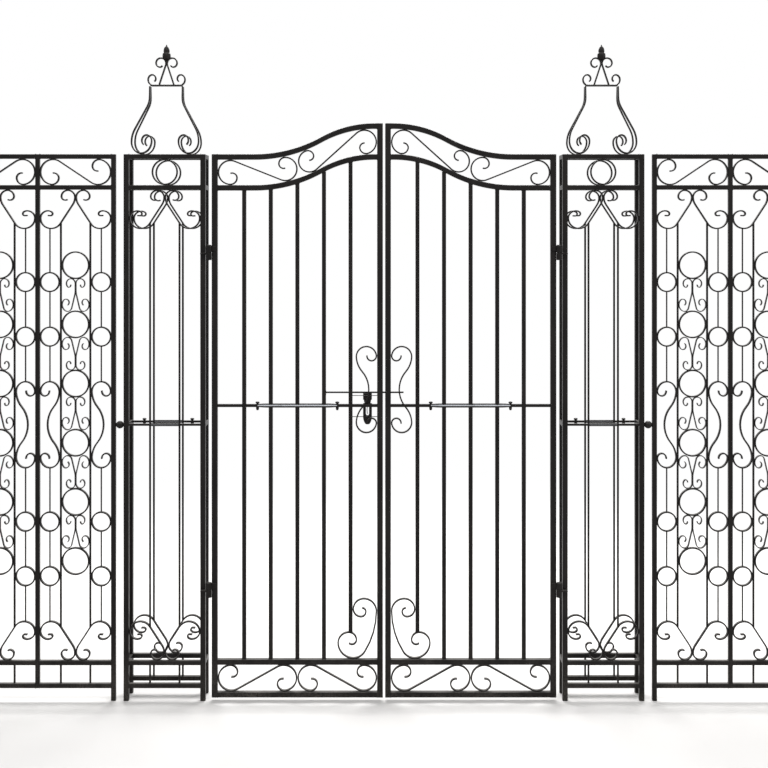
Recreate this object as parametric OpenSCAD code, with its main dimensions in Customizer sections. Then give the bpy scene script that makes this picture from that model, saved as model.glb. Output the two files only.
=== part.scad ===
/* [Gate leaves] */
// Width of one leaf over its two stiles
leaf_w = 598; // [560:1:660]
// Gap between the two closed leaves
meeting_gap = 8; // [6:1:16]
// Gap between a leaf and its pier
hinge_gap = 22; // [21:1:32]
// Height of a leaf's underside above the ground
leaf_lift = 12; // [6:1:40]
// Side of the square stiles
stile_t = 20; // [18:1:24]
// Height of the leaf's rails
leaf_rail_h = 19; // [14:1:22]
// Side of the square upright bars
leaf_bar_t = 14; // [10:1:16]
// Number of upright bars in a leaf
leaf_bar_count = 5; // [4:1:6]
// Clear height of the panel at the foot of a leaf
foot_panel_h = 95; // [80:1:110]
// Height of the middle rail's centre line
leaf_mid_z = 1031; // [1020:1:1036]
// Side of the middle rail
leaf_mid_t = 11; // [8:1:13]
// Diameter of the round swell between the middle rail's studs
leaf_swell_d = 15; // [12:1:16]
// Length of the taper at each end of the swell
swell_taper = 35; // [20:1:45]
// Rise of the curved rails from hinge stile to meeting stile
crest_rise = 108; // [80:1:120]
// Level run of the curved rails beside the hinge stile
shoulder_run = 150; // [110:1:180]
// Level run of the curved rails beside the meeting stile
crest_run = 30; // [22:1:60]
// Part of the curved rise that the lower, hollow arc takes
hollow_share = 0.56; // [0.4:0.01:0.65]

/* [Piers and fence] */
// Clear width between the uprights of every panel
panel_w = 250; // [230:1:280]
// Side of the square pier posts
post_t = 18; // [14:1:24]
// Distance between the front and rear faces of a pier
pier_depth = 75; // [60:1:110]
// Side of the fence's end posts
fence_post_t = 16; // [12:1:22]
// Width of the fence's centre bar
fence_centre_t = 15; // [12:1:20]
// Gap between a pier and its fence
coupling_gap = 28; // [24:1:40]
// Height of the top face of the frame
frame_top = 1910; // [1890:1:1950]
// Height and depth of the frame rails
rail_h = 16; // [12:1:20]
// Clear height of the band under the top rail
band_h = 92; // [84:1:100]
// Height of the pier's middle rail centre line
mid_rail_z = 964; // [940:1:980]
// Side of the pier's middle rail
mid_rail_t = 8; // [6:1:12]
// Diameter of the round sleeve on the pier's middle rail
pier_sleeve_d = 11; // [9:1:13]
// Height of the lower rail's top face
low_rail_z = 140; // [125:1:160]
// Height of the foot rail's top face
foot_rail_z = 60; // [45:1:80]
// Side of the thin bars in the panels
thin_t = 6.5; // [5:0.5:9]
// Distance between the two thin bars of a panel
thin_pitch = 103; // [96:1:108]
// Distance of the studs in a pier's middle rail from its middle
stud_x = 85; // [70:1:100]

/* [Scrolls and rings] */
// Thickness of the scroll bar
scroll_t = 5; // [4:0.5:6]
// Depth of the scroll bar
scroll_d = 12; // [8:1:13]
// Height of the V scrolls in the panels
v_scroll_h = 138; // [120:1:150]
// Height of the scrolls with a waist
waist_scroll_h = 306; // [280:1:320]
// Height of the waist scroll's centre beside the lock
lock_scroll_z = 1087; // [1080:1:1095]
// Width of the scroll in the leaf's lower corner
corner_scroll_w = 139; // [134:1:144]
// Height of that scroll
corner_scroll_h = 213; // [195:1:230]
// Height of the highest ring in the fence's ring column
ring_top_z = 1522; // [1510:1:1535]
// Pitch of the rings in that column
ring_pitch = 207; // [203:1:211]
// Number of rings in that column
ring_count = 6; // [3:1:6]
// Side of the thin bars that join the small rings
link_t = 4.5; // [3:0.5:6]
// Thickness of the scroll pairs between the rings of the column
pair_t = 3; // [2.5:0.5:5]

/* [Pier tops] */
// Height of the lyre scrolls on a pier
lyre_h = 242; // [210:1:270]
// Half the width of a lyre over its scrolls
lyre_half_w = 120; // [110:1:128]
// Half the distance between the lyre's stems where they meet the saddle
lyre_neck = 47; // [42:1:50]
// Length of the saddle plate on the lyres
saddle_l = 112; // [104:1:124]
// Depth of the saddle plate
saddle_d = 26; // [20:1:32]
// Thickness of the saddle plate
saddle_t = 5; // [4:0.5:8]
// Height of the crest's outer crooks above the saddle
crook_h = 38; // [30:1:46]
// Height of the crest's volutes above the saddle
volute_h = 97; // [85:1:110]
// Height of the acorn at the top
acorn_h = 59; // [50:1:70]
// Radius of the acorn
acorn_r = 14.5; // [11:0.5:18]

/* [Hinges and bolt] */
// Diameter of the hinge pins
pin_d = 12; // [10:1:14]
// Outer diameter of the hinge knuckles
knuckle_d = 22; // [20:1:23]
// Height of a hinge knuckle
knuckle_h = 27; // [24:1:36]
// Gap between a knuckle and the lug under it
neck_h = 1; // [0.5:0.5:4]
// Distance of the hinge axis in front of the leaf's front face
hinge_out = 7; // [7:0.5:9]
// Thickness of the hinge straps
strap_t = 5; // [4:0.5:6]
// Thickness of the lugs that carry the hinge pins
lug_t = 6; // [5:1:10]
// Diameter of the fixed barrel that holds a hinge pin
barrel_d = 20; // [17:1:21]
// Length of a fixed barrel below its lug
barrel_drop = 20; // [10:1:26]
// Height of the lower knuckle's underside
low_hinge_z = 391; // [340:1:420]
// Height of the upper knuckle's underside
high_hinge_z = 1567; // [1500:1:1600]
// Diameter of the bolt rod
rod_d = 6; // [5:0.5:8]
// Height of the bolt rod above the leaf's middle rail
rod_over_rail = 44; // [38:1:52]
// Length of rod that reaches past the leaf's edge when the bolt is shut
rod_reach = 73; // [64:1:74]
// Width of the bolt's handle
handle_w = 31; // [24:1:36]
// Thickness of the bolt's handle
handle_t = 10; // [8:1:14]
// Height of the handle below the rod
handle_drop = 112; // [100:1:125]
// Size of the bolt's guides along the rod
guide_w = 14; // [10:1:18]

/* [Hidden] */
NODES = [
    "left_leaf_stiles", "left_leaf_rails", "left_leaf_bars", "left_leaf_mid_rail",
    "left_leaf_crest_scrolls", "left_leaf_foot_scrolls", "left_leaf_lock_scroll",
    "left_leaf_corner_scroll", "left_leaf_knuckles", "left_leaf_lock_stays", "left_leaf_bolt_guides",
    "right_leaf_stiles", "right_leaf_rails", "right_leaf_bars", "right_leaf_mid_rail",
    "right_leaf_crest_scrolls", "right_leaf_foot_scrolls", "right_leaf_lock_scroll",
    "right_leaf_corner_scroll", "right_leaf_knuckles", "right_leaf_keeper",
    "bolt_rod", "bolt_handle",
    "left_pier_front_frame", "left_pier_rear_frame", "left_pier_ties", "left_pier_bars",
    "left_pier_rings", "left_pier_scrolls", "left_pier_lyres", "left_pier_crest", "left_pier_hinge_pins",
    "right_pier_front_frame", "right_pier_rear_frame", "right_pier_ties", "right_pier_bars",
    "right_pier_rings", "right_pier_scrolls", "right_pier_lyres", "right_pier_crest",
    "right_pier_hinge_pins",
    "left_fence_panel", "left_coupling", "right_fence_panel", "right_coupling"
];
node = "all";
iron = "#2b2826";
steel = "#4a4848";
$fn = 48;

// Gap where one piece seats on another
seat = 0.3;
// How far welded bars of one piece sink into each other
weld = 0.4;
// Turn between two points of a bent bar
arc_step = 22.5;
// Steps of the curved rails, and sides of the rings in the fence
crest_steps = 36;
ring_sides = 24;
// Clearances: hinge pin and bolt rod in their bores, handle behind the bars that it passes
pin_clear = 0.1;
rod_clear = 0.6;
handle_clear = 5.2;
// Gap over a hinge pin's end, and the solid cap of its knuckle
pin_end_gap = 2;
cap_t = 8;
// Length of a hinge strap beyond its knuckle
strap_reach = 14;
// Wall of a bolt guide round its bore
guide_wall = 5;
// Gap between the lock scroll and the bar beside it
lock_gap = 11;
// Drops from the highest ring to the four small rings of a column
side_ring_drops = [59, 250, 897, 1088];
// How far a scroll pair passes beside the rings over and under it: at its small rolls, at its large ones
pair_over = [2.6, 4.8];
// Depths of the handle below the rod: block, bevel, notch, hasp and slot
block_drop = 24;
notch_drop = 31;
hasp_drop = 38;
slot_top = 49;
slot_low = 77;
slot_end = 81;
slot_half = 5.5;
// Heights of the wires between the stile and the first bar, below the rod
stay_drops = [9, 83];

LEFT = -1;
RIGHT = 1;

leaf_x0 = meeting_gap / 2;
leaf_x1 = leaf_x0 + leaf_w;
gate_half = leaf_x1 + hinge_gap;
pier_x = gate_half + post_t + panel_w / 2;
pier_x1 = gate_half + 2 * post_t + panel_w;
fence_x0 = pier_x1 + coupling_gap;
fence_inner_x = fence_x0 + fence_post_t + panel_w / 2;
fence_centre_x = fence_x0 + fence_post_t + panel_w + fence_centre_t / 2;
fence_outer_x = fence_centre_x + fence_centre_t / 2 + panel_w / 2;
fence_x1 = fence_outer_x + panel_w / 2 + fence_post_t;

// The origin is on the foot of the left pier's front post beside the gate
home_x = gate_half + post_t / 2;

inner_x0 = leaf_x0 + stile_t;
inner_x1 = leaf_x1 - stile_t;
band_pitch = band_h + rail_h;
second_rail_z = frame_top - band_pitch;
panel_top_z = second_rail_z - rail_h;
bar_pitch = (leaf_w - 2 * stile_t) / (leaf_bar_count + 1);
foot_z = leaf_lift + leaf_rail_h;
leaf_low_z = foot_z + foot_panel_h + leaf_rail_h;
hinge_x = leaf_x1 + knuckle_d / 2 - 2;
hinge_y = -stile_t / 2 - hinge_out;
rod_y = leaf_bar_t / 2 + handle_clear + handle_t / 2;
rod_z = leaf_mid_z + rod_over_rail;
crest_l = leaf_w - shoulder_run - crest_run;
crest_r = (crest_l * crest_l + crest_rise * crest_rise) / (2 * crest_rise);
crest_a = asin(crest_l / crest_r);
hollow_r = hollow_share * crest_r;
round_r = crest_r - hollow_r;
side_channel = (panel_w - thin_pitch - thin_t) / 2;
mid_channel = thin_pitch - thin_t;
side_x = panel_w / 2 - side_channel / 2;
lyre_lean = atan((pier_depth / 2 - saddle_d / 2 + scroll_d / 2) / lyre_h);

// Rise of the curved rails at a distance from the hinge edge of the leaf
function rise(u) =
    u < shoulder_run ? 0 :
    u < shoulder_run + hollow_r * sin(crest_a) ?
        hollow_r - sqrt(hollow_r * hollow_r - pow(u - shoulder_run, 2)) :
    u < leaf_w - crest_run ?
        crest_rise - round_r + sqrt(round_r * round_r - pow(leaf_w - crest_run - u, 2)) :
    crest_rise;

// Edge of a curved rail, lowered from the top edge of the leaf
function curve_edge(drop) =
    [for (i = [0:crest_steps])
        let(x = inner_x0 + (inner_x1 - inner_x0) * i / crest_steps)
        [x, frame_top + rise(leaf_x1 - x) - drop]];

// Underside of the second curved rail at a place across the leaf
function bar_top(x) = second_rail_z - leaf_rail_h + rise(leaf_x1 - x) - seat;

// Middle of an upright bar, counted from the meeting stile
function bar_x(i) = inner_x0 + bar_pitch * i;

// Path of a bent bar from a point and heading: [radius, turn] for an arc, [length, 0] for a straight
function bend(p, h, moves, i = 0) =
    i == len(moves) ? [p] :
    let(r = moves[i][0], s = moves[i][1], side = s < 0 ? -1 : 1,
        c = p + side * r * [-sin(h), cos(h)],
        n = max(1, ceil(abs(s) / arc_step)),
        last = s == 0 ? p + r * [cos(h), sin(h)] : c + side * r * [sin(h + s), -cos(h + s)])
    concat(s == 0 ? [p] : [for (k = [0:n - 1]) c + side * r * [sin(h + s * k / n), -cos(h + s * k / n)]],
        bend(last, h + s, moves, i + 1));

function reverse(list) = [for (i = [len(list) - 1:-1:0]) list[i]];
function low(path) = [min([for (p = path) p.x]), min([for (p = path) p.y])];
function high(path) = [max([for (p = path) p.x]), max([for (p = path) p.y])];

// A path stretched to fill the box between two corners
function fit(path, a, b) =
    let(p0 = low(path), p1 = high(path))
    [for (p = path) [a.x + (p.x - p0.x) / (p1.x - p0.x) * (b.x - a.x),
                     a.y + (p.y - p0.y) / (p1.y - p0.y) * (b.y - a.y)]];

function normal(path, i) =
    let(d = path[min(i + 1, len(path) - 1)] - path[max(i - 1, 0)])
    [-d.y, d.x] / norm(d);

// Outline of a bar of one thickness along a path
function strip(path, t) =
    concat([for (i = [0:len(path) - 1]) path[i] + normal(path, i) * t / 2],
           [for (i = [len(path) - 1:-1:0]) path[i] - normal(path, i) * t / 2]);

// Highest point of an outline above one x
function top_at(outline, x) =
    max([for (i = [0:len(outline) - 1])
        let(a = outline[i], b = outline[(i + 1) % len(outline)])
        if ((a.x - x) * (b.x - x) <= 0 && a.x != b.x) a.y + (b.y - a.y) * (x - a.x) / (b.x - a.x)]);

// The rolled end of an S scroll: round its circle, then tighter twice
function roll(r, turn) = [[r, 204 * turn], [0.54 * r, 90 * turn], [0.4 * r, 110 * turn]];

// S scroll round two circles, with a straight run between them
function s_scroll(c1, r1, c2, r2, turn) =
    let(d = c2 - c1,
        h = atan2(d.y, d.x) + turn * asin((r1 + r2) / norm(d)),
        n = [-sin(h), cos(h)])
    concat(reverse(bend(c1 - turn * r1 * n, h + 180, roll(r1, -turn))),
           bend(c2 + turn * r2 * n, h, roll(r2, -turn)));

// Scroll with a waist: both ends roll to the right, and the stem swings right between them
waist_bends = [[16.8, 196], [35.8, 176], [84, 36.5], [94, -41.5]];
function waist_scroll(w, h) =
    fit(bend([0, 0], 263, concat(waist_bends, reverse(waist_bends))),
        [scroll_t / 2, -h / 2 + scroll_t / 2], [w - scroll_t / 2, h / 2 - scroll_t / 2]);

// Right half of a V scroll group that stands on a rail, with a gap to its frame
v_bends = [[2.4, 0], [2, 114], [2.8, 40], [6, 30], [7.5, 90], [10.5, 148], [23, 0],
           [14, 32], [7, 90], [6.2, 90], [3.8, 125]];
function v_scroll(gap) =
    fit(bend([0, 0], 176, v_bends),
        [scroll_t / 2 - weld, scroll_t / 2 + gap],
        [panel_w / 2 - scroll_t / 2 - gap, v_scroll_h - scroll_t / 2]);
function v_top(x, gap) = top_at(strip(v_scroll(gap), scroll_t), x);

// Right one of the scroll pair between two rings, with its large roll at the foot
pair_bends = [[7.6, 73], [6.2, 79], [16.2, 223], [26, 0], [47, 14], [48, 0],
              [15.4, 101], [23.7, 104], [11.4, 199]];
function c_scroll(w, h) =
    fit(bend([0, 0], 255, pair_bends),
        [pair_t / 2 - weld, pair_t / 2], [w - pair_t / 2 + weld, h - pair_t / 2]);

module on(side) translate([home_x, 0, 0]) mirror([side == LEFT ? 1 : 0, 0, 0]) children();
module upright(depth) rotate([90, 0, 0]) translate([0, 0, -depth / 2]) linear_extrude(depth) children();
module twin() {
    children();
    mirror([1, 0, 0]) children();
}
module turned_over(z) translate([0, 2 * z]) mirror([0, 1]) children();
module bar(x, z0, z1, w, d) translate([x - w / 2, -d / 2, z0]) cube([w, d, z1 - z0]);
module rail(x0, x1, z0, z1, d) translate([x0, -d / 2, z0]) cube([x1 - x0, d, z1 - z0]);
module scroll(path) upright(scroll_d) polygon(strip(path, scroll_t));
module flat_scroll(path, t = scroll_t) polygon(strip(path, t - 2 * weld));
module flat_ring(x, z, r) translate([x, z]) difference() {
    circle(r - weld, $fn = ring_sides);
    circle(r - scroll_t + weld, $fn = ring_sides);
}
// Flat work of one depth, with each bar grown into those that it touches
module welded(depth) upright(depth) offset(delta = weld) children();

// A bolt that hangs through a middle rail: round cap above, cone below
module rail_stud(t) {
    translate([0, 0, -t / 2 - 11]) cylinder(d1 = 5, d2 = 10, h = 11.5);
    translate([0, 0, -1]) cylinder(d = 5, h = t / 2 + 5);
    translate([0, 0, t / 2 + 3]) cylinder(d = 12, h = 4);
}

// Gate leaves, drawn as the right one with the meeting edge at the left

module leaf_stiles() color(iron) {
    bar(leaf_x0 + stile_t / 2, leaf_lift, frame_top + crest_rise, stile_t, stile_t);
    bar(leaf_x1 - stile_t / 2, leaf_lift, frame_top, stile_t, stile_t);
}

module leaf_rails() color(iron) {
    for (drop = [0, band_pitch])
        upright(stile_t) polygon(concat(curve_edge(drop), reverse(curve_edge(drop + leaf_rail_h))));
    rail(inner_x0, inner_x1, leaf_low_z - leaf_rail_h, leaf_low_z, stile_t);
    rail(inner_x0, inner_x1, leaf_lift, foot_z, stile_t);
}

corner_path = fit(
    [for (p = bend([0, 0], 0, [[3.8, -90], [4.8, -90], [7.5, -90], [10.3, -90], [12.3, -90], [76, -32],
        [13, -58], [15, -90], [10.5, -90], [7.5, -90], [4.5, -90], [3.6, -50]])) [-p.x, p.y]],
    [inner_x0 + seat + scroll_t / 2, leaf_low_z + seat + scroll_t / 2],
    [inner_x0 + corner_scroll_w - scroll_t / 2, leaf_low_z + corner_scroll_h - scroll_t / 2]);

module leaf_corner_scroll() color(iron) scroll(corner_path);

// The bar beside the meeting stile stands on the corner scroll, the others on the lower rail
module leaf_bars() color(iron) {
    outline = strip(corner_path, scroll_t);
    w = leaf_bar_t / 2;
    corner_top = max([for (x = [-w:w / 2:w]) top_at(outline, bar_x(1) + x)]) + seat;
    difference() {
        for (i = [1:leaf_bar_count])
            let(x = bar_x(i), z0 = i > 1 ? leaf_low_z : corner_top)
            upright(leaf_bar_t)
                polygon([[x - w, z0], [x + w, z0], [x + w, bar_top(x + w)], [x - w, bar_top(x - w)]]);
        leaf_swell();
    }
}

// The middle rail swells to a round bar between its studs, and passes through the bars there
function stud_place(i) = i == 0 ? 1.5 : leaf_bar_count - 0.5;
module leaf_swell() {
    long = bar_x(stud_place(1)) - bar_x(stud_place(0));
    translate([bar_x(stud_place(0)), 0, leaf_mid_z]) rotate([0, 90, 0]) rotate_extrude()
        polygon([[0, 0], [leaf_mid_t / 2, 0], [leaf_swell_d / 2, swell_taper],
                 [leaf_swell_d / 2, long - swell_taper], [leaf_mid_t / 2, long], [0, long]]);
}

// The waist scroll fills the channel between the meeting stile and the first bar
lock_w = bar_pitch - leaf_bar_t / 2 - lock_gap;
lock_path = [for (p = waist_scroll(lock_w, waist_scroll_h))
    [inner_x0 + seat + lock_w - p.x, lock_scroll_z + p.y]];

module leaf_lock_scroll() color(iron) scroll(lock_path);
module round_lock_scroll() difference() {
    children();
    upright(2 * stile_t) polygon(strip(lock_path, scroll_t + 2 * seat));
}

module leaf_mid_rail() color(iron) {
    r = leaf_mid_t / 2;
    w = leaf_bar_t / 2;
    runs = [[inner_x0, bar_x(1) - w], [bar_x(1) + w, bar_x(stud_place(0)) + 1],
            [bar_x(stud_place(1)) - 1, bar_x(leaf_bar_count) - w], [bar_x(leaf_bar_count) + w, inner_x1]];
    round_lock_scroll()
        for (run = runs) rail(run[0], run[1], leaf_mid_z - r, leaf_mid_z + r, leaf_mid_t);
    leaf_swell();
    for (i = [0, 1]) translate([bar_x(stud_place(i)), 0, leaf_mid_z]) rail_stud(leaf_mid_t);
}

// Two S scrolls between the curved rails, rolled as large as the slope leaves room for
half_clear = (band_pitch - leaf_rail_h) / 2;
function crest_r_at(u) = min([for (e = [-1, 1], d = [-60:2:60])
    norm([d, rise(u + d) - rise(u) + e * half_clear])]) - scroll_t / 2 - seat;
function crest_at(u) = [leaf_x1 - u, frame_top - leaf_rail_h - half_clear + rise(u)];

module leaf_crest_scrolls() color(iron) {
    edge = scroll_t / 2 + seat;
    middle_r = crest_r_at(leaf_w / 2);
    u0 = stile_t + edge + crest_r_at(0);
    u1 = leaf_w / 2 - edge - middle_r;
    u2 = leaf_w / 2 + edge + middle_r;
    u3 = leaf_w - stile_t - edge - crest_r_at(leaf_w);
    scroll(s_scroll(crest_at(u0), crest_r_at(u0), crest_at(u1), crest_r_at(u1), 1));
    scroll(s_scroll(crest_at(u2), crest_r_at(u2), crest_at(u3), crest_r_at(u3), -1));
}

module leaf_foot_scrolls() color(iron) {
    r = foot_panel_h / 2 - scroll_t / 2 - seat;
    z = foot_z + foot_panel_h / 2;
    half = leaf_w / 2 - stile_t;
    translate([leaf_x0 + leaf_w / 2, 0, 0]) twin()
        scroll(s_scroll([half - seat - scroll_t / 2 - r, z], r, [r + scroll_t / 2 + seat, z], r, -1));
}

module hinge_place(z) translate([hinge_x, hinge_y, z]) children();

module leaf_knuckles() color(iron)
    for (z = [low_hinge_z, high_hinge_z]) hinge_place(z) difference() {
        union() {
            rotate_extrude() polygon([[0, 0], [knuckle_d / 2, 0], [knuckle_d / 2, knuckle_h - 4],
                [knuckle_d / 2 - 4, knuckle_h], [0, knuckle_h]]);
            translate([-knuckle_d / 2 - strap_reach, hinge_out - strap_t, strap_t])
                cube([knuckle_d / 2 + strap_reach, strap_t, knuckle_h - 2 * strap_t]);
        }
        translate([0, 0, -1]) cylinder(d = pin_d + 2 * pin_clear, h = knuckle_h - cap_t + 1);
    }

// Bolt with its guides, drawn in the gate's own frame

module bolt_block(x, y0) {
    wall = rod_d / 2 + guide_wall;
    difference() {
        translate([x - guide_w / 2, y0, rod_z - wall]) cube([guide_w, rod_y + wall - y0, 2 * wall]);
        translate([x - guide_w, rod_y, rod_z]) rotate([0, 90, 0])
            cylinder(d = rod_d + 2 * rod_clear, h = 2 * guide_w);
    }
}

module leaf_bolt_guides() color(iron) {
    bolt_block(bar_x(2), leaf_bar_t / 2);
    bolt_block(leaf_x0 + stile_t / 2, stile_t / 2);
}

module leaf_keeper() color(iron) bolt_block(leaf_x0 + stile_t / 2, stile_t / 2);

module bolt_rod() color(steel) {
    tail = bar_x(2) + leaf_bar_t / 2;
    translate([-tail, rod_y, rod_z]) rotate([0, 90, 0]) cylinder(d = rod_d, h = tail - leaf_x0 + rod_reach);
}

// The handle hangs under the rod: block, neck behind the middle rail, slotted lug
module bolt_handle() color(steel) {
    w = handle_w / 2;
    top = -rod_d / 2 - seat;
    side = [[w, top], [w, top - block_drop], [w - 4, top - notch_drop], [w, top - hasp_drop],
        [w, 22 - handle_drop], [w * 0.68, 6 - handle_drop], [w * 0.4, -handle_drop]];
    slot = [[slot_half, -slot_top], [slot_half, -slot_low], [slot_half - 2.5, -slot_end]];
    translate([-inner_x0 - handle_w - 3, rod_y, rod_z]) upright(handle_t) difference() {
        polygon(concat(side, [for (p = reverse(side)) [-p.x, p.y]]));
        polygon(concat(slot, [for (p = reverse(slot)) [-p.x, p.y]]));
    }
}

module leaf_lock_stays() color(steel)
    round_lock_scroll()
        for (drop = stay_drops)
            translate([inner_x0, 0, rod_z - drop]) rotate([0, 90, 0])
                cylinder(d = 2.5, h = bar_pitch - leaf_bar_t / 2);

// Piers and fence, drawn with the panel's middle at x = 0

module panel_rails() {
    w = panel_w / 2;
    for (top = [frame_top, second_rail_z, low_rail_z, foot_rail_z])
        rail(-w, w, top - rail_h, top, rail_h);
}

module pier_frame() color(iron) {
    for (s = [-1, 1]) bar(s * (panel_w + post_t) / 2, 0, frame_top, post_t, post_t);
    panel_rails();
    rail(-panel_w / 2, panel_w / 2, mid_rail_z - mid_rail_t / 2, mid_rail_z + mid_rail_t / 2, mid_rail_t);
    translate([0, 0, mid_rail_z]) rotate([0, 90, 0])
        cylinder(d = pier_sleeve_d, h = thin_pitch - thin_t, center = true);
}

module pier_rear_frame() color(iron) {
    pier_frame();
    for (s = [-1, 1]) translate([s * stud_x, 0, mid_rail_z]) rail_stud(mid_rail_t);
}

module v_groups(gap) {
    translate([0, low_rail_z]) twin() flat_scroll(v_scroll(gap));
    turned_over((low_rail_z + panel_top_z) / 2) translate([0, low_rail_z]) twin() flat_scroll(v_scroll(gap));
}

// The thin bars of a panel end on the V scrolls, and a short stretch stands on the foot rail
module thin_bars(gap) {
    x = thin_pitch / 2;
    reach = max([for (e = [-1:0.5:1]) v_top(x + e * thin_t / 2, gap)]) + gap;
    for (s = [-1, 1]) {
        bar(s * x, low_rail_z + reach, panel_top_z - reach, thin_t, thin_t);
        bar(s * x, foot_rail_z + min(gap, 0), low_rail_z - rail_h - min(gap, 0), thin_t, thin_t);
    }
}

module pier_bars() color(iron)
    for (y = [0, pier_depth]) translate([0, y, 0]) difference() {
        thin_bars(seat);
        rail(-panel_w, panel_w, mid_rail_z - mid_rail_t / 2, mid_rail_z + mid_rail_t / 2, 2 * mid_rail_t);
    }

module pier_scrolls() color(iron)
    for (y = [0, pier_depth]) translate([0, y, 0]) welded(scroll_d) v_groups(seat);

module pier_rings() color(iron)
    for (y = [0, pier_depth])
        translate([0, y, second_rail_z + band_h / 2]) rotate([90, 0, 0]) difference() {
            cylinder(r = band_h / 2 - seat, h = scroll_d, center = true);
            cylinder(r = band_h / 2 - seat - scroll_t, h = 2 * scroll_d, center = true);
        }

module pier_ties() color(iron)
    for (s = [-1, 1], top = [frame_top, second_rail_z, mid_rail_z + rail_h / 2, low_rail_z])
        translate([s * (panel_w + post_t) / 2 - post_t / 2, post_t / 2, top - rail_h])
            cube([post_t, pier_depth - post_t, rail_h]);

// A lyre leans inward from the top rail until its stems meet the saddle
module pier_lyre() {
    base = seat + scroll_d / 2 * sin(lyre_lean);
    h = (lyre_h - seat - base - scroll_d / 2 * sin(lyre_lean)) / cos(lyre_lean);
    stem = bend([0, 0], 270, [[11, 0], [18, 32], [26, 0], [23, -32], [11.5, -90], [12, -90], [6, -90],
        [5.5, -90], [4.5, -60]]);
    side = fit(stem, [lyre_neck, scroll_t / 2], [lyre_half_w - scroll_t / 2, h]);
    translate([0, 0, frame_top + base]) rotate([-lyre_lean, 0, 0]) twin() scroll(side);
}

module pier_lyres() color(iron) {
    pier_lyre();
    translate([0, pier_depth, 0]) mirror([0, 1, 0]) pier_lyre();
}

// Crooks, volutes and acorn on the saddle, in the middle plane of the pier
module pier_crest() color(iron)
    translate([0, pier_depth / 2, frame_top + lyre_h]) {
        translate([-saddle_l / 2, -saddle_d / 2, 0]) cube([saddle_l, saddle_d, saddle_t]);
        crook = bend([0, 0], 20, [[5, 70], [4.4, 90], [3.6, 90], [2.5, 70]]);
        volute = bend([0, 0], 109, [[21, 0], [5.5, -109], [5, -90], [4.2, -90], [2.6, -70]]);
        top = saddle_t - 2 * weld;
        welded(scroll_d) twin() {
            flat_scroll(fit(crook, [saddle_l / 2 - 18, top],
                            [saddle_l / 2 + 9, top + crook_h - scroll_t / 2]));
            flat_scroll(fit(volute, [scroll_t / 2 - weld, top], [37, top + volute_h - scroll_t / 2]));
        }
        translate([0, 0, saddle_t + volute_h - 14]) rotate_extrude() polygon([
            [0, 0], [4, 0], [4.5, 0.07 * acorn_h], [0.85 * acorn_r, 0.12 * acorn_h],
            [acorn_r, 0.22 * acorn_h], [acorn_r, 0.38 * acorn_h], [0.92 * acorn_r, 0.47 * acorn_h],
            [0.7 * acorn_r, 0.5 * acorn_h], [0.74 * acorn_r, 0.62 * acorn_h], [0.6 * acorn_r, 0.79 * acorn_h],
            [0.3 * acorn_r, 0.88 * acorn_h], [2.5, 0.91 * acorn_h], [1.5, acorn_h], [0, acorn_h]]);
    }

// Pins in barrels on lugs that are welded to the front of the pier's post
module pier_hinge_pins() color(iron)
    for (z = [low_hinge_z, high_hinge_z]) hinge_place(z - neck_h - lug_t) {
        r = pin_d / 2 + 2;
        cylinder(d = pin_d, h = lug_t + neck_h + knuckle_h - cap_t - pin_end_gap);
        translate([0, 0, -barrel_drop]) cylinder(d = barrel_d, h = barrel_drop + lug_t);
        translate([0, -r, 0]) cube([gate_half + post_t - 2 - hinge_x, -post_t / 2 - hinge_y + r, lug_t]);
    }

// Flat work of one half bay of fence, drawn as the outer one
module half_bay() {
    gap = -weld;
    color(iron) thin_bars(gap);
    ring_r = mid_channel / 2 + weld;
    side_r = side_channel / 2 + weld;
    pair_h = ring_pitch - 2 * ring_r + pair_over[0] + pair_over[1];
    side_rings = [for (drop = side_ring_drops) ring_top_z - drop];
    reach = waist_scroll_h / 2 - scroll_t / 2;
    band_r = band_h / 2 - scroll_t / 2 + weld;
    band_z = second_rail_z + band_h / 2;
    band_x = panel_w / 2 - scroll_t / 2 + weld - band_r;
    color(iron) welded(scroll_d) {
        v_groups(gap);
        for (i = [0:ring_count - 1]) flat_ring(0, ring_top_z - i * ring_pitch, ring_r);
        for (i = [0:ring_count - 2])
            translate([0, ring_top_z - (i + 0.5) * ring_pitch]) mirror([0, i % 2])
                translate([0, ring_r - ring_pitch / 2 - pair_over[1]]) twin()
                    flat_scroll(c_scroll(mid_channel / 2, pair_h), pair_t);
        twin() {
            for (z = side_rings) flat_ring(side_x, z, side_r);
            translate([side_x - side_r, mid_rail_z]) flat_scroll(waist_scroll(2 * side_r, waist_scroll_h));
        }
        flat_scroll(s_scroll([-band_x, band_z], band_r, [band_x, band_z], band_r, -1));
    }
    v_end = v_top(side_x, gap) - scroll_t / 2;
    color(iron) twin() {
        bar(side_x, side_rings[0] + side_r - weld, panel_top_z - v_end, link_t, link_t);
        bar(side_x, side_rings[1] + side_r - weld, side_rings[0] - side_r + weld, link_t, link_t);
        bar(side_x, mid_rail_z + reach, side_rings[1] - side_r + weld, link_t, link_t);
        bar(side_x, side_rings[2] + side_r - weld, mid_rail_z - reach, link_t, link_t);
        bar(side_x, side_rings[3] + side_r - weld, side_rings[2] - side_r + weld, link_t, link_t);
        bar(side_x, low_rail_z + v_end, side_rings[3] - side_r + weld, link_t, link_t);
    }
}

module fence_panel() {
    color(iron) {
        bar(fence_x0 + fence_post_t / 2, 0, frame_top, fence_post_t, fence_post_t);
        bar(fence_x1 - fence_post_t / 2, 0, frame_top, fence_post_t, fence_post_t);
        bar(fence_centre_x, foot_rail_z - rail_h, frame_top, fence_centre_t, fence_post_t);
        for (x = [fence_inner_x, fence_outer_x]) translate([x, 0, 0]) panel_rails();
    }
    translate([fence_inner_x, 0, 0]) mirror([1, 0, 0]) half_bay();
    translate([fence_outer_x, 0, 0]) half_bay();
}

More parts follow.
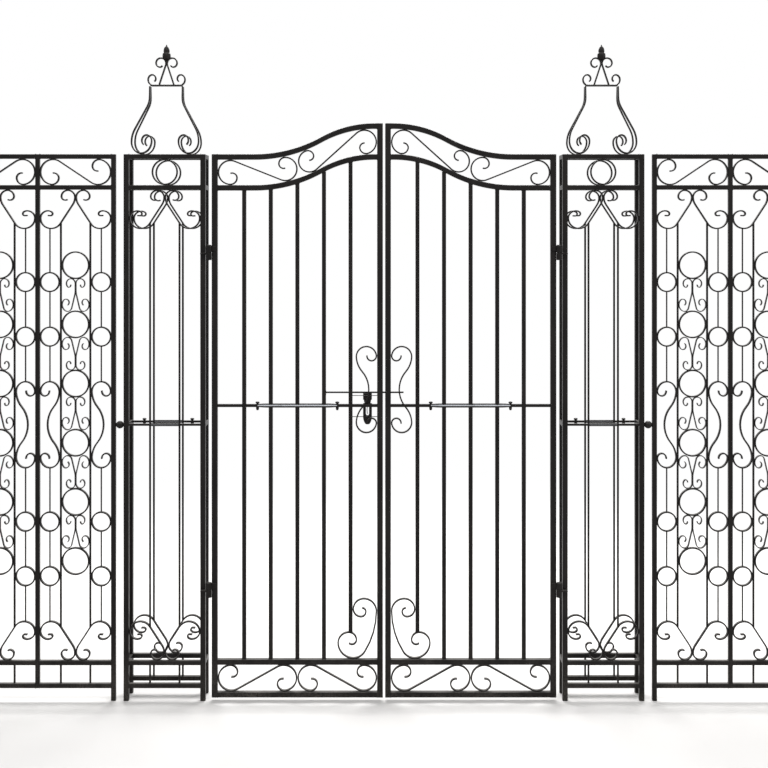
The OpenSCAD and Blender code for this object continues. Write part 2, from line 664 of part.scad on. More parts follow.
module coupling() color(iron)
    translate([pier_x1 + coupling_gap / 2, 0, mid_rail_z]) {
        sphere(d = coupling_gap - 1);
        translate([-coupling_gap / 2, 0, 0]) rotate([0, 90, 0]) cylinder(d = 10, h = coupling_gap);
    }

function wanted(name) = node == "all" || node == name;

for (side = [LEFT, RIGHT]) {
    s = side == LEFT ? "left" : "right";
    if (wanted(str(s, "_leaf_stiles"))) on(side) leaf_stiles();
    if (wanted(str(s, "_leaf_rails"))) on(side) leaf_rails();
    if (wanted(str(s, "_leaf_bars"))) on(side) leaf_bars();
    if (wanted(str(s, "_leaf_mid_rail"))) on(side) leaf_mid_rail();
    if (wanted(str(s, "_leaf_crest_scrolls"))) on(side) leaf_crest_scrolls();
    if (wanted(str(s, "_leaf_foot_scrolls"))) on(side) leaf_foot_scrolls();
    if (wanted(str(s, "_leaf_lock_scroll"))) on(side) leaf_lock_scroll();
    if (wanted(str(s, "_leaf_corner_scroll"))) on(side) leaf_corner_scroll();
    if (wanted(str(s, "_leaf_knuckles"))) on(side) leaf_knuckles();
    if (wanted(str(s, "_fence_panel"))) on(side) fence_panel();
    if (wanted(str(s, "_coupling"))) on(side) coupling();
    if (wanted(str(s, "_pier_hinge_pins"))) on(side) pier_hinge_pins();
    if (wanted(str(s, "_pier_front_frame"))) on(side) translate([pier_x, 0, 0]) pier_frame();
    if (wanted(str(s, "_pier_rear_frame"))) on(side) translate([pier_x, pier_depth, 0]) pier_rear_frame();
    if (wanted(str(s, "_pier_ties"))) on(side) translate([pier_x, 0, 0]) pier_ties();
    if (wanted(str(s, "_pier_bars"))) on(side) translate([pier_x, 0, 0]) pier_bars();
    if (wanted(str(s, "_pier_rings"))) on(side) translate([pier_x, 0, 0]) pier_rings();
    if (wanted(str(s, "_pier_scrolls"))) on(side) translate([pier_x, 0, 0]) pier_scrolls();
    if (wanted(str(s, "_pier_lyres"))) on(side) translate([pier_x, 0, 0]) pier_lyres();
    if (wanted(str(s, "_pier_crest"))) on(side) translate([pier_x, 0, 0]) pier_crest();
}
if (wanted("left_leaf_lock_stays")) on(LEFT) leaf_lock_stays();
if (wanted("left_leaf_bolt_guides")) on(LEFT) leaf_bolt_guides();
if (wanted("right_leaf_keeper")) on(RIGHT) leaf_keeper();
if (wanted("bolt_rod")) on(RIGHT) bolt_rod();
if (wanted("bolt_handle")) on(RIGHT) bolt_handle();
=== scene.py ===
import math

import bpy
import numpy as np
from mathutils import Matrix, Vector


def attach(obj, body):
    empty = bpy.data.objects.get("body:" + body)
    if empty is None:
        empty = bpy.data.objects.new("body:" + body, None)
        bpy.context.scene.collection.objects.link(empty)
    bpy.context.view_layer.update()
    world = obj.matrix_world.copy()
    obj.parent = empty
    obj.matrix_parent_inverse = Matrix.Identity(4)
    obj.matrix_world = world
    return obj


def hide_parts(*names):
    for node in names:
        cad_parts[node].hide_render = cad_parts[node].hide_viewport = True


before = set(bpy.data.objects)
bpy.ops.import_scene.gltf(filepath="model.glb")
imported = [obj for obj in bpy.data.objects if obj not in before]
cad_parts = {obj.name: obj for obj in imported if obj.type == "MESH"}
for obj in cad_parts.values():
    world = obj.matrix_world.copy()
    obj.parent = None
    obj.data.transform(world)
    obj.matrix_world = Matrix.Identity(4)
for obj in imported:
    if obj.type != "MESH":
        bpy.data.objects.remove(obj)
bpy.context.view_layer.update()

# Studio
# A pale floor that fades to white away from the gate, seen by a level camera whose
# lens is shifted down, as on a view camera, so that the uprights stay parallel.

CAMERA_AT = (0.633, -4.5, 1.645)
FOCAL_MM = 60.28
LENS_FALL = -0.2005

camera = bpy.data.objects.new("camera", bpy.data.cameras.new("camera"))
camera.location = CAMERA_AT
camera.rotation_euler = (math.radians(90), 0, 0)
camera.data.lens = FOCAL_MM
camera.data.sensor_width = 36
camera.data.shift_y = LENS_FALL
bpy.context.scene.collection.objects.link(camera)
bpy.context.scene.camera = camera
bpy.context.scene.view_settings.view_transform = "Standard"


class Wire:
    """A socket of a material's nodes. Sums and products of wires add Math nodes."""

    def __init__(self, tree, socket=None):
        self.tree, self.socket = tree, socket

    def add(self, kind, settings=None, sockets=None, out=0):
        """Adds a node: its settings are set first, then the values or wires of its sockets."""
        made = self.tree.nodes.new(kind)
        for name, value in (settings or {}).items():
            setattr(made, name, value)
        for name, value in (sockets or {}).items():
            if isinstance(value, Wire):
                self.tree.links.new(value.socket, made.inputs[name])
            else:
                made.inputs[name].default_value = value
        return Wire(self.tree, made.outputs[out])

    def math(self, operation, *others, clamp=False):
        """A Math node on this wire and the others."""
        values = dict(enumerate((self, *others)))
        return self.add("ShaderNodeMath", {"operation": operation, "use_clamp": clamp}, values)

    def __add__(self, other):
        return self.math("ADD", other)

    def __mul__(self, other):
        return self.math("MULTIPLY", other)

    def __sub__(self, other):
        return self.math("SUBTRACT", other)

    def __rsub__(self, other):
        return self.add("ShaderNodeMath", {"operation": "SUBTRACT"}, {0: other, 1: self})

    def __pow__(self, other):
        return self.math("POWER", other)

    def clip(self, low, high):
        """0 below low, 1 above high, and a straight ramp between them."""
        return ((self - low) * (1 / (high - low))).math("ADD", 0, clamp=True)

    __radd__, __rmul__ = __add__, __mul__


def blank_material(name):
    """A material with an empty node tree and its output node."""
    made = bpy.data.materials.new(name)
    made.use_nodes = True
    made.node_tree.nodes.clear()
    return made, Wire(made.node_tree), made.node_tree.nodes.new("ShaderNodeOutputMaterial")


FLOOR_HALF, FLOOR_SUNK = 40, 0.0006
FADE_START, FADE_END = 1.9, 4.2

floor_mesh = bpy.data.meshes.new("floor")
floor_mesh.from_pydata([(-FLOOR_HALF, -FLOOR_HALF, 0), (FLOOR_HALF, -FLOOR_HALF, 0),
                        (FLOOR_HALF, FLOOR_HALF, 0), (-FLOOR_HALF, FLOOR_HALF, 0)], [], [(0, 1, 2, 3)])
floor = bpy.data.objects.new("floor", floor_mesh)
floor.location.z = -FLOOR_SUNK
bpy.context.scene.collection.objects.link(floor)

paper, shade, paper_out = blank_material("floor_paper")
where = shade.add("ShaderNodeNewGeometry", out=0)
middle = shade.add("ShaderNodeVectorMath", {"operation": "SUBTRACT"}, {0: where, 1: (CAMERA_AT[0], 0, 0)})
away = shade.add("ShaderNodeVectorMath", {"operation": "LENGTH"}, {0: middle}, out=1)
far = away.clip(FADE_START, FADE_END)
path = shade.add("ShaderNodeLightPath")
seen = Wire(shade.tree, path.socket.node.outputs["Is Camera Ray"]).math(
    "MAXIMUM", Wire(shade.tree, path.socket.node.outputs["Is Glossy Ray"])).math(
    "MAXIMUM", Wire(shade.tree, path.socket.node.outputs["Is Transmission Ray"]))
matt = shade.add("ShaderNodeBsdfDiffuse", {}, {"Color": (0.66, 0.65, 0.64, 1)})
white = shade.add("ShaderNodeEmission", {}, {"Color": (1, 1, 1, 1), "Strength": 1.0})
mixed = shade.add("ShaderNodeMixShader", {}, {0: far * seen, 1: matt, 2: white})
shade.tree.links.new(mixed.socket, paper_out.inputs["Surface"])
floor_mesh.materials.append(paper)

SKY_LIGHT = 0.62
world = bpy.data.worlds.new("studio")
world.use_nodes = True
world.node_tree.nodes.clear()
sky = Wire(world.node_tree)
sky_path = sky.add("ShaderNodeLightPath")
sky_seen = Wire(sky.tree, sky_path.socket.node.outputs["Is Camera Ray"]).math(
    "MAXIMUM", Wire(sky.tree, sky_path.socket.node.outputs["Is Glossy Ray"])).math(
    "MAXIMUM", Wire(sky.tree, sky_path.socket.node.outputs["Is Transmission Ray"]))
glow = sky.add("ShaderNodeBackground", {}, {"Color": (1, 1, 1, 1),
                                            "Strength": sky_seen * (1 - SKY_LIGHT) + SKY_LIGHT})
sky.tree.links.new(glow.socket, world.node_tree.nodes.new("ShaderNodeOutputWorld").inputs["Surface"])
bpy.context.scene.world = world


def softbox(name, at, aim, size, watts):
    """A rectangular lamp at one point that faces another."""
    lamp = bpy.data.lights.new(name, "AREA")
    lamp.shape, lamp.size, lamp.size_y, lamp.energy = "RECTANGLE", *size, watts
    made = bpy.data.objects.new(name, lamp)
    made.location = at
    made.rotation_euler = (made.location - Vector(aim)).to_track_quat("Z", "Y").to_euler()
    bpy.context.scene.collection.objects.link(made)


softbox("top_lamp", at=(0.9, 2.6, 4.4), aim=(0.63, 0, 1.2), size=(4.4, 2.2), watts=400)
softbox("front_lamp", at=(0.63, -2.3, 4.0), aim=(0.63, 0, 1.0), size=(5.0, 0.6), watts=75)
softbox("side_lamp", at=(4.2, -1.5, 2.6), aim=(0.63, 0, 1.1), size=(0.8, 2.0), watts=25)

# Leaf stiles
# The square tubes at the two sides of each leaf, their tops closed with welded and
# filed caps. Box tube with rounded corners, primed and sprayed satin black.

MM = 0.001
GATE_MIDDLE = 633
LEFT, RIGHT = -1, 1
SIDES = ((LEFT, "left"), (RIGHT, "right"))
LEAF_NEAR, LEAF_FAR = 4, 602
LEAF_FOOT = 12
STILE = 20
FRAME_TOP = 1910
CREST_RISE = 108
TUBE_CORNER = 2.2
FILED = 0.8


def bar_section(width, depth, corner, steps=2):
    """Section of a bar: quarter circles about the centres of its four corners,
    each point a centre plus the corner radius times (cos a, sin a)."""
    a = np.radians(np.arange(4)[:, None] * 90 + np.linspace(0, 90, steps + 1)[None])
    centre = np.array([[1, 1], [-1, 1], [-1, -1], [1, -1]])[:, None] * (np.array([width, depth]) / 2 - corner)
    return (centre + corner * np.stack([np.cos(a), np.sin(a)], -1)).reshape(-1, 2)


def spot(side, x, z, y=0):
    """Points of one half of the gate, in mm from its middle, as points of the whole gate."""
    x, y, z = np.broadcast_arrays(GATE_MIDDLE + side * np.asarray(x, float), y, z)
    return np.stack([x, y, z], -1).astype(float)


def ring_faces(rings, sides, loop=False):
    """Quads between the rings of a grid, facing out, and the two closing ends."""
    i, j = np.arange(rings if loop else rings - 1)[:, None] * sides, np.arange(sides)[None]
    up = (i + sides) % (rings * sides)
    quads = np.stack([i + j, i + (j + 1) % sides, up + (j + 1) % sides, up + j], -1).reshape(-1, 4)
    ends = [] if loop else [np.arange(sides)[::-1], np.arange(sides) + (rings - 1) * sides]
    return quads, ends


def carried(path, section, across=(0, 1, 0), slant=None, loop=False, wear_steps=3):
    """A section carried along a path: point = path + x * side + y * across, where side is
    at right angles to both, or slant where that is given. The edges of open ends are filed.
    Wear is 1 in the middle of each corner, where a corner has wear_steps points."""
    across = np.asarray(across, float)
    step = np.roll(path, -1, 0) - path if loop else np.diff(path, axis=0)
    step /= np.linalg.norm(step, axis=1, keepdims=True)
    way = step + np.roll(step, 1, 0) if loop else np.vstack([step[:1], step[1:] + step[:-1], step[-1:]])
    way /= np.linalg.norm(way, axis=1, keepdims=True)
    inset = np.zeros(len(path))
    if not loop:
        first = min(FILED, 0.4 * np.linalg.norm(path[1] - path[0]))
        last = min(FILED, 0.4 * np.linalg.norm(path[-1] - path[-2]))
        path = np.vstack([path[:1], path[0] + first * way[0], path[1:-1],
                          path[-1] - last * way[-1], path[-1:]])
        way = np.vstack([way[:1], way, way[-1:]])
        inset = np.concatenate([[FILED], inset, [FILED]])
    side = np.cross(across, way)
    side /= np.linalg.norm(side, axis=1, keepdims=True)
    if slant is not None:
        side = np.sign(side @ np.asarray(slant, float))[:, None] * np.asarray(slant, float)
    filed = np.minimum(inset[:, None, None], np.abs(section)[None] * 0.6)
    drawn = section[None] - np.sign(section)[None] * filed
    points = path[:, None] + drawn[..., :1] * side[:, None] + drawn[..., 1:] * across
    worn = np.tile((np.arange(len(section)) % wear_steps == wear_steps // 2).astype(float), len(path))
    return points.reshape(-1, 3), *ring_faces(len(path), len(section), loop), worn


def upright_bar(side, x, z0, z1, section, y=0):
    """A straight bar that stands at one place across the gate."""
    return carried(spot(side, [x, x], [z0, z1], y), section)


DEEP_BLACK, THIN_BLACK, RUN_BLACK = (
    (0.0060, 0.0052, 0.0050, 1), (0.0105, 0.0091, 0.0086, 1), (0.022, 0.0200, 0.0190, 1))
# The pale tone of upward faces is partly dust and partly painted light for the lit tops.
WORN_TONE, DUST_AND_TOP_LIGHT_TONE, MUD_TONE = (0.105, 0.098, 0.092, 1), (0.42, 0.40, 0.375, 1), (0.30, 0.27, 0.235, 1)
SPLASH_HIGH = 0.32


def painted_iron(name, dents=0.35, dent_size=55, sheen=0.36, dust_and_top_light=0.30, worn=0.35, splash=0.0):
    """Satin black paint over iron: an orange-peel film over soft dents, dust and painted top light
    where a face looks up, thin paint on the corners, and pale splashes near the ground."""
    made, ink, out = blank_material(name)
    at = ink.add("ShaderNodeTexCoord", out=3)

    def noise(size, detail=3.0, rough=0.55, stretch=(1, 1, 1)):
        """Noise that lies on the piece, drawn out where stretch is small."""
        spread = ink.add("ShaderNodeMapping", {}, {"Vector": at, "Scale": stretch})
        return ink.add("ShaderNodeTexNoise", {}, {"Vector": spread, "Scale": size, "Detail": detail,
                                                  "Roughness": rough})

    def blend(factor, a, b):
        """Colour a where the factor is 0, and b where it is 1."""
        return ink.add("ShaderNodeMix", {"data_type": "RGBA"}, {0: factor, 6: a, 7: b}, out=2)

    cloud = noise(9, 4)
    runs = noise(34, 3, stretch=(1, 1, 0.12))
    film = noise(820, 2, 0.5)
    hammer = noise(dent_size, 2, 0.45)
    chips = noise(240, 4, 0.7)
    grains = noise(1500, 2, 0.6)
    facing = ink.add("ShaderNodeSeparateXYZ", {}, {0: ink.add("ShaderNodeNewGeometry", out=1)}, out=2)
    height = ink.add("ShaderNodeSeparateXYZ", {}, {0: at}, out=2)
    corner = ink.add("ShaderNodeAttribute", {"attribute_name": "edge"}, out=2)

    # Faces that look up get a pale tone: partly dust, partly painted light standing in for lit tops.
    patchy = facing.clip(0.25, 0.95) * (cloud.clip(0.28, 0.72) * 0.6 + 0.4)
    dust_and_lit_top = patchy * (grains.clip(0.3, 0.7) * 0.5 + 0.5)
    thin = corner.clip(0.45, 0.95) * chips.clip(0.46, 0.62) * worn
    tone = blend(cloud.clip(0.35, 0.65), DEEP_BLACK, THIN_BLACK)
    tone = blend(runs.clip(0.48, 0.72) * 0.35, tone, RUN_BLACK)
    tone = blend(thin, tone, WORN_TONE)
    tone = blend(dust_and_lit_top * dust_and_top_light, tone, DUST_AND_TOP_LIGHT_TONE)
    low = (height * -1).clip(-SPLASH_HIGH, 0.0) ** 2
    wet = low * chips.clip(0.42, 0.60) * cloud.clip(0.3, 0.7) * splash
    tone = blend(wet, tone, MUD_TONE)
    gloss = cloud * 0.12 + runs * 0.08 + (sheen - 0.10) + dust_and_lit_top * (dust_and_top_light * 0.55) + wet * 0.4 - thin * 0.10

    dented = ink.add("ShaderNodeBump", {}, {"Strength": dents, "Distance": 0.0011, "Height": hammer})
    peeled = ink.add("ShaderNodeBump", {}, {"Strength": 0.22, "Distance": 0.00012, "Height": film,
                                            "Normal": dented})
    shell = ink.add("ShaderNodeBsdfPrincipled", {}, {
        "Base Color": tone, "Roughness": gloss, "Normal": peeled, "Specular IOR Level": 0.12})
    ink.tree.links.new(shell.socket, out.inputs["Surface"])
    return made


def piece(name, parts, material, body, *nodes, slot="black_paint", fold=50):
    """Joins parts, each points in mm, quads, ends and an edge value, into one piece of the gate. The
    edge value is corner wear, and on the swell and sleeves a painted highlight band. It is smooth
    but for folds sharper than the fold angle, and stands for the CAD nodes it is given."""
    starts = np.cumsum([0] + [len(part[0]) for part in parts])
    quads = np.vstack([part[1] + start for part, start in zip(parts, starts)])
    ends = [(end + start).tolist() for part, start in zip(parts, starts) for end in part[2]]
    mesh = bpy.data.meshes.new(name)
    mesh.from_pydata((np.vstack([part[0] for part in parts]) * MM).tolist(), [], quads.tolist() + ends)
    # The edge attribute holds corner wear, and on round bars a painted highlight band.
    mesh.attributes.new("edge", "FLOAT", "POINT").data.foreach_set(
        "value", np.concatenate([part[3] for part in parts]).astype(np.float32))
    mesh.shade_smooth()
    mesh.set_sharp_from_angle(angle=math.radians(fold))
    mesh.materials.append(material)
    made = bpy.data.objects.new(name, mesh)
    bpy.context.scene.collection.objects.link(made)
    evened = made.modifiers.new("evened", "WEIGHTED_NORMAL")
    evened.keep_sharp = True
    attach(made, body)
    if nodes:
        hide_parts(*nodes)


def turned(profile, centre, axis=(0, 0, 1), sides=24):
    """A profile of (radius, height) turned about an axis through centre: point =
    centre + radius (cos a * e1 + sin a * e2) + height * axis. Both ends are closed."""
    axis = np.asarray(axis, float) / np.linalg.norm(axis)
    e1 = np.cross((0, 1, 0) if abs(axis[1]) < 0.9 else (0, 0, 1), axis)
    e1 /= np.linalg.norm(e1)
    e2 = np.cross(axis, e1)
    a = np.arange(sides) * 2 * np.pi / sides
    r, h = np.maximum(np.asarray(profile, float)[:, 0], 0.03), np.asarray(profile, float)[:, 1]
    spoke = np.cos(a)[:, None] * e1 + np.sin(a)[:, None] * e2
    points = np.asarray(centre, float) + r[:, None, None] * spoke + h[:, None, None] * axis
    return points.reshape(-1, 3), *ring_faces(len(r), sides), np.zeros(len(r) * sides)


chance = np.random.default_rng(11)
BEAD_SHARE = 0.82


def bead(middle, axis, length, radius=1.7):
    """A weld bead: radius (1 + 0.1 cos(2 pi h / 2.3)) sin(end) over its length, with ends
    that close in half a circle, each bead a little larger or smaller than the last."""
    length, radius = length * chance.uniform(0.86, 1.0), radius * chance.uniform(0.85, 1.15)
    h = np.linspace(-length / 2, length / 2, max(7, int(length / 1.1)))
    end = np.sqrt(np.clip(1 - (np.maximum(np.abs(h) - length / 2 + radius, 0) / radius) ** 2, 0, 1))
    ripple = 1 + 0.1 * np.cos(2 * np.pi * (h / 2.3 + chance.uniform()))
    return turned(np.column_stack([radius * end * ripple, h]), middle, axis, sides=8)


def rail_beads(side, x0, x1, z, thick, y=0, deep=16):
    """Beads over and under a level rail at both its ends."""
    return [bead(spot(side, x, z + s * thick / 2, y), (0, 1, 0), BEAD_SHARE * deep)
            for x in (x0, x1) for s in (-1, 1)]


tube_paint = painted_iron("tube_paint", dents=0.16, dent_size=24, splash=0.22)
stile_section = bar_section(STILE, STILE, TUBE_CORNER)
for side, hand in SIDES:
    piece(f"{hand}_stile_tubes", [
        upright_bar(side, LEAF_NEAR + STILE / 2, LEAF_FOOT, FRAME_TOP + CREST_RISE, stile_section),
        upright_bar(side, LEAF_FAR - STILE / 2, LEAF_FOOT, FRAME_TOP, stile_section),
    ], tube_paint, f"{hand}_leaf", f"{hand}_leaf_stiles")

# Leaf rails
# Two curved rails that rise to the meeting stile, and two straight ones at the foot.
# Box tube, the curved pair drawn round two arcs, welded between the stiles.

INNER_NEAR, INNER_FAR = LEAF_NEAR + STILE, LEAF_FAR - STILE
RAIL_HIGH = 19
BAND = 92
BAND_PITCH = 108
FOOT_RAIL_TOP = LEAF_FOOT + RAIL_HIGH
LOW_RAIL_TOP = 145
SHOULDER, CREST_FLAT = 150, 30
HOLLOW_SHARE = 0.56
SUNK = 1.5

crest_run = LEAF_FAR - LEAF_NEAR - SHOULDER - CREST_FLAT
crest_radius = (crest_run ** 2 + CREST_RISE ** 2) / (2 * CREST_RISE)
hollow_radius = HOLLOW_SHARE * crest_radius
round_radius = crest_radius - hollow_radius
hollow_run = hollow_radius * crest_run / crest_radius


def rise(x):
    """Rise of the curved rails at x from the gate's middle: level, a hollow arc, a round arc
    that meets it on one slope, and level again."""
    u = np.clip(LEAF_FAR - np.asarray(x, float) - SHOULDER, 0, crest_run)
    low = hollow_radius - np.sqrt(hollow_radius ** 2 - np.minimum(u, hollow_run) ** 2)
    left = crest_run - np.maximum(u, hollow_run)
    high = CREST_RISE - round_radius + np.sqrt(round_radius ** 2 - left ** 2)
    return np.where(u < hollow_run, low, high)


rail_section = bar_section(RAIL_HIGH, STILE, TUBE_CORNER)
across_leaf = np.linspace(INNER_NEAR - SUNK, INNER_FAR + SUNK, 61)
for side, hand in SIDES:
    curved = [carried(spot(side, across_leaf, FRAME_TOP + rise(across_leaf) - drop - RAIL_HIGH / 2),
                      rail_section, slant=(0, 0, 1)) for drop in (0, BAND_PITCH)]
    straight, beads = [], []
    for top in (LOW_RAIL_TOP, FOOT_RAIL_TOP):
        straight.append(carried(spot(side, across_leaf[[0, -1]], top - RAIL_HIGH / 2), rail_section))
        beads += rail_beads(side, INNER_NEAR, INNER_FAR, top - RAIL_HIGH / 2, RAIL_HIGH, deep=STILE)
    for drop in (0, BAND_PITCH):
        for x in (INNER_NEAR, INNER_FAR):
            beads += [bead(spot(side, x, FRAME_TOP + rise(x) - drop - d), (0, 1, 0), BEAD_SHARE * STILE)
                      for d in (0.3, RAIL_HIGH)]
    piece(f"{hand}_rail_tubes", curved + straight + beads, tube_paint,
          f"{hand}_leaf", f"{hand}_leaf_rails")

# Scrolls of the leaves
# Flat bar rolled cold round a jig, its ends sheared square and dressed on the edges: a
# pair of S scrolls in the crest, a pair at the foot, one in the lower corner, one at the lock.

SCROLL_THICK, SCROLL_DEEP = 5, 12
SEAT = 0.3
FOOT_PANEL = 95
BAR_PITCH = 93
BAR = 14
LOCK_HEIGHT, LOCK_MIDDLE, LOCK_CLEAR = 306, 1087, 11
CORNER_WIDE, CORNER_HIGH = 139, 213


def bend(start, heading, moves, step=9):
    """Path of a bent bar from a point and heading. A move is (radius, turn) for an arc, whose
    points are its centre plus radius times (sin h, -cos h), or (length, 0) for a straight."""
    points, p, h = [], np.array(start, float), math.radians(heading)
    for size, turn in moves:
        if turn == 0:
            points.append(p[None])
            p = p + size * np.array([math.cos(h), math.sin(h)])
            continue
        sign = math.copysign(1, turn)
        swept = h + np.radians(turn) * np.linspace(0, 1, max(1, math.ceil(abs(turn) / step)) + 1)
        centre = p + sign * size * np.array([-math.sin(h), math.cos(h)])
        arc = centre + sign * size * np.stack([np.sin(swept), -np.cos(swept)], -1)
        points.append(arc[:-1])
        p, h = arc[-1], swept[-1]
    return np.vstack([*points, p[None]])


def fit(path, low, high):
    """A path stretched to fill the box between two corners."""
    p0, p1 = path.min(0), path.max(0)
    return (path - p0) / (p1 - p0) * (np.asarray(high, float) - low) + low


def s_scroll(c1, r1, c2, r2, turn):
    """S scroll round two circles: the straight run leaves them at the angle
    asin((r1 + r2) / distance), and each end goes on round its circle and rolls in twice."""
    c1, c2 = np.asarray(c1, float), np.asarray(c2, float)
    d = c2 - c1
    h = math.atan2(d[1], d[0]) + turn * math.asin((r1 + r2) / np.hypot(*d))
    n = np.array([-math.sin(h), math.cos(h)])

    def roll(r, way):
        """Bends of one end: most of a circle, then two tighter turns."""
        return [(r, 204 * way), (0.54 * r, 90 * way), (0.4 * r, 110 * way)]

    return np.vstack([bend(c1 - turn * r1 * n, math.degrees(h) + 180, roll(r1, -turn))[::-1],
                      bend(c2 + turn * r2 * n, math.degrees(h), roll(r2, -turn))])


def waist_scroll(wide, high):
    """Scroll with a waist: both ends roll the same way and the stem swings in between them."""
    half = [(16.8, 196), (35.8, 176), (84, 36.5), (94, -41.5)]
    edge = SCROLL_THICK / 2
    path = bend((0, 0), 263, half + half[::-1])
    return fit(path, (edge, edge - high / 2), (wide - edge, high / 2 - edge))


flat_section = bar_section(SCROLL_THICK, SCROLL_DEEP, 1.0)
forged_paint = painted_iron("forged_paint", dents=0.5, dent_size=70, worn=0.4, splash=0.2)


def scroll(side, path, y=0, section=flat_section, x=0, z=0):
    """A scroll bar carried along a flat path."""
    return carried(spot(side, path[:, 0] + x, path[:, 1] + z, y), section)


touch = SCROLL_THICK / 2 + SEAT
half_clear = (BAND_PITCH - RAIL_HIGH) / 2


def crest_room(x):
    """Radius of the largest circle at x between the two curved rails."""
    d = np.arange(-60, 61, 2.0)
    gaps = [np.hypot(d, rise(x + d) - rise(x) + e * half_clear).min() for e in (-1, 1)]
    return min(gaps) - touch


def crest_middle(x):
    """The point midway between the two curved rails at x."""
    return np.array([x, FRAME_TOP - RAIL_HIGH - half_clear + rise(x)])


leaf_middle = (LEAF_NEAR + LEAF_FAR) / 2
middle_room = crest_room(leaf_middle)
crest_x = [INNER_FAR - touch - crest_room(LEAF_FAR), leaf_middle + touch + middle_room,
           leaf_middle - touch - middle_room, INNER_NEAR + touch + crest_room(LEAF_NEAR)]
crest_pair = [s_scroll(crest_middle(a), crest_room(a), crest_middle(b), crest_room(b), turn)
              for a, b, turn in ((crest_x[0], crest_x[1], 1), (crest_x[2], crest_x[3], -1))]

foot_r = FOOT_PANEL / 2 - touch
foot_z = FOOT_RAIL_TOP + FOOT_PANEL / 2
foot_far, foot_near = leaf_middle - INNER_NEAR - touch - foot_r, foot_r + touch
foot_path = s_scroll((foot_far, foot_z), foot_r, (foot_near, foot_z), foot_r, -1)
foot_pair = [foot_path * (s, 1) + (leaf_middle, 0) for s in (1, -1)]

corner_bends = [(3.8, -90), (4.8, -90), (7.5, -90), (10.3, -90), (12.3, -90), (76, -32),
                (13, -58), (15, -90), (10.5, -90), (7.5, -90), (4.5, -90), (3.6, -50)]
corner_at = np.array([INNER_NEAR, LOW_RAIL_TOP])
corner_path = fit(bend((0, 0), 0, corner_bends) * (-1, 1), corner_at + touch,
                  corner_at + (CORNER_WIDE, CORNER_HIGH) - SCROLL_THICK / 2)

lock_wide = BAR_PITCH - BAR / 2 - LOCK_CLEAR
lock_path = waist_scroll(lock_wide, LOCK_HEIGHT) * (-1, 1) + (INNER_NEAR + SEAT + lock_wide, LOCK_MIDDLE)

for side, hand in SIDES:
    leaf = f"{hand}_leaf"
    for rolls, paths, node in (("crest_rolls", crest_pair, "crest_scrolls"),
                               ("foot_rolls", foot_pair, "foot_scrolls"),
                               ("corner_roll", [corner_path], "corner_scroll"),
                               ("lock_roll", [lock_path], "lock_scroll")):
        piece(f"{hand}_{rolls}", [scroll(side, path) for path in paths], forged_paint, leaf, f"{leaf}_{node}")

# Leaf bars
# Five square bars in each leaf. Solid bar, mitred under the curved rail and stood on the
# lower rail, but for the one beside the meeting stile, which stands on the corner scroll.

BAR_COUNT = 5
BAR_CORNER = 1.1


def highest(path, x):
    """Highest point of a path at one x, along the straight lines between its points."""
    a, b = path[:-1], path[1:]
    crossed = (a[:, 0] - x) * (b[:, 0] - x) <= 0
    a, b = a[crossed], b[crossed]
    return (a[:, 1] + (b[:, 1] - a[:, 1]) * (x - a[:, 0]) / (b[:, 0] - a[:, 0])).max()


square_section = bar_section(BAR, BAR, BAR_CORNER)
bar_x = INNER_NEAR + BAR_PITCH * np.arange(1, BAR_COUNT + 1)
corner_top = max(highest(corner_path, bar_x[0] + d) for d in np.linspace(-BAR / 2, BAR / 2, 5))
for side, hand in SIDES:
    bars, beads = [], []
    for x in bar_x:
        foot, sunk = (corner_top, 0) if x == bar_x[0] else (LOW_RAIL_TOP, SUNK)
        head = FRAME_TOP - BAND_PITCH - RAIL_HIGH + rise(x)
        bars.append(upright_bar(side, x, foot - sunk, head + SUNK, square_section))
        slope = rise(x + BAR / 2) - rise(x - BAR / 2)
        beads += [bead(spot(side, x + s * BAR / 2, z + s * up), (0, 1, 0), 0.7 * BAR, 1.3)
                  for s in (-1, 1) for z, up in ((foot, 0), (head - 0.5, slope / 2))]
    piece(f"{hand}_square_bars", bars + beads, tube_paint, f"{hand}_leaf", f"{hand}_leaf_bars")

# Leaf middle rail
# A thinner rail let in between the bars at hand height, that swells to a round bar between two
# bolts with domed heads above and tapered nuts below. Drawn bar, with a painted highlight band.

MID_Z = 1031
MID_THICK = 11
SWELL_R, SWELL_TAPER, SWELL_LAP = 7.5, 35, 3
STUD_BARS = (1.5, BAR_COUNT - 0.5)
STUD_HEAD = [(0, 8.6), (3.8, 8.4), (5.9, 7.6), (7, 6.2), (7, 3.6), (6.6, 2.8), (4.4, 2.2), (4.2, 0)]
STUD_NUT = [(4.6, 0.2), (5.3, 0), (5.6, -0.8), (5.4, -4), (4.7, -7.6), (3.8, -10), (2.6, -11), (0, -11.1)]


def rail_stud(at, thick):
    """A bolt through a rail: domed head above on its shank, tapered nut below."""
    over, under = np.array(STUD_HEAD) + (0, thick / 2), np.array(STUD_NUT) - (0, thick / 2)
    return turned(np.vstack([over, under])[::-1], at, sides=20)


# The bright bluish tone is a painted highlight, like a reflection of the sky, over black paint.
HIGHLIGHT_BASE_BLACK, HIGHLIGHT_TONE = (0.012, 0.0108, 0.0100, 1), (0.54, 0.56, 0.60, 1)
mid_section = bar_section(MID_THICK, MID_THICK, 3.2, steps=3)
rail_paint = painted_iron("middle_rail_paint", dents=0.2, dent_size=60, sheen=0.34, dust_and_top_light=0.05, worn=0.12)


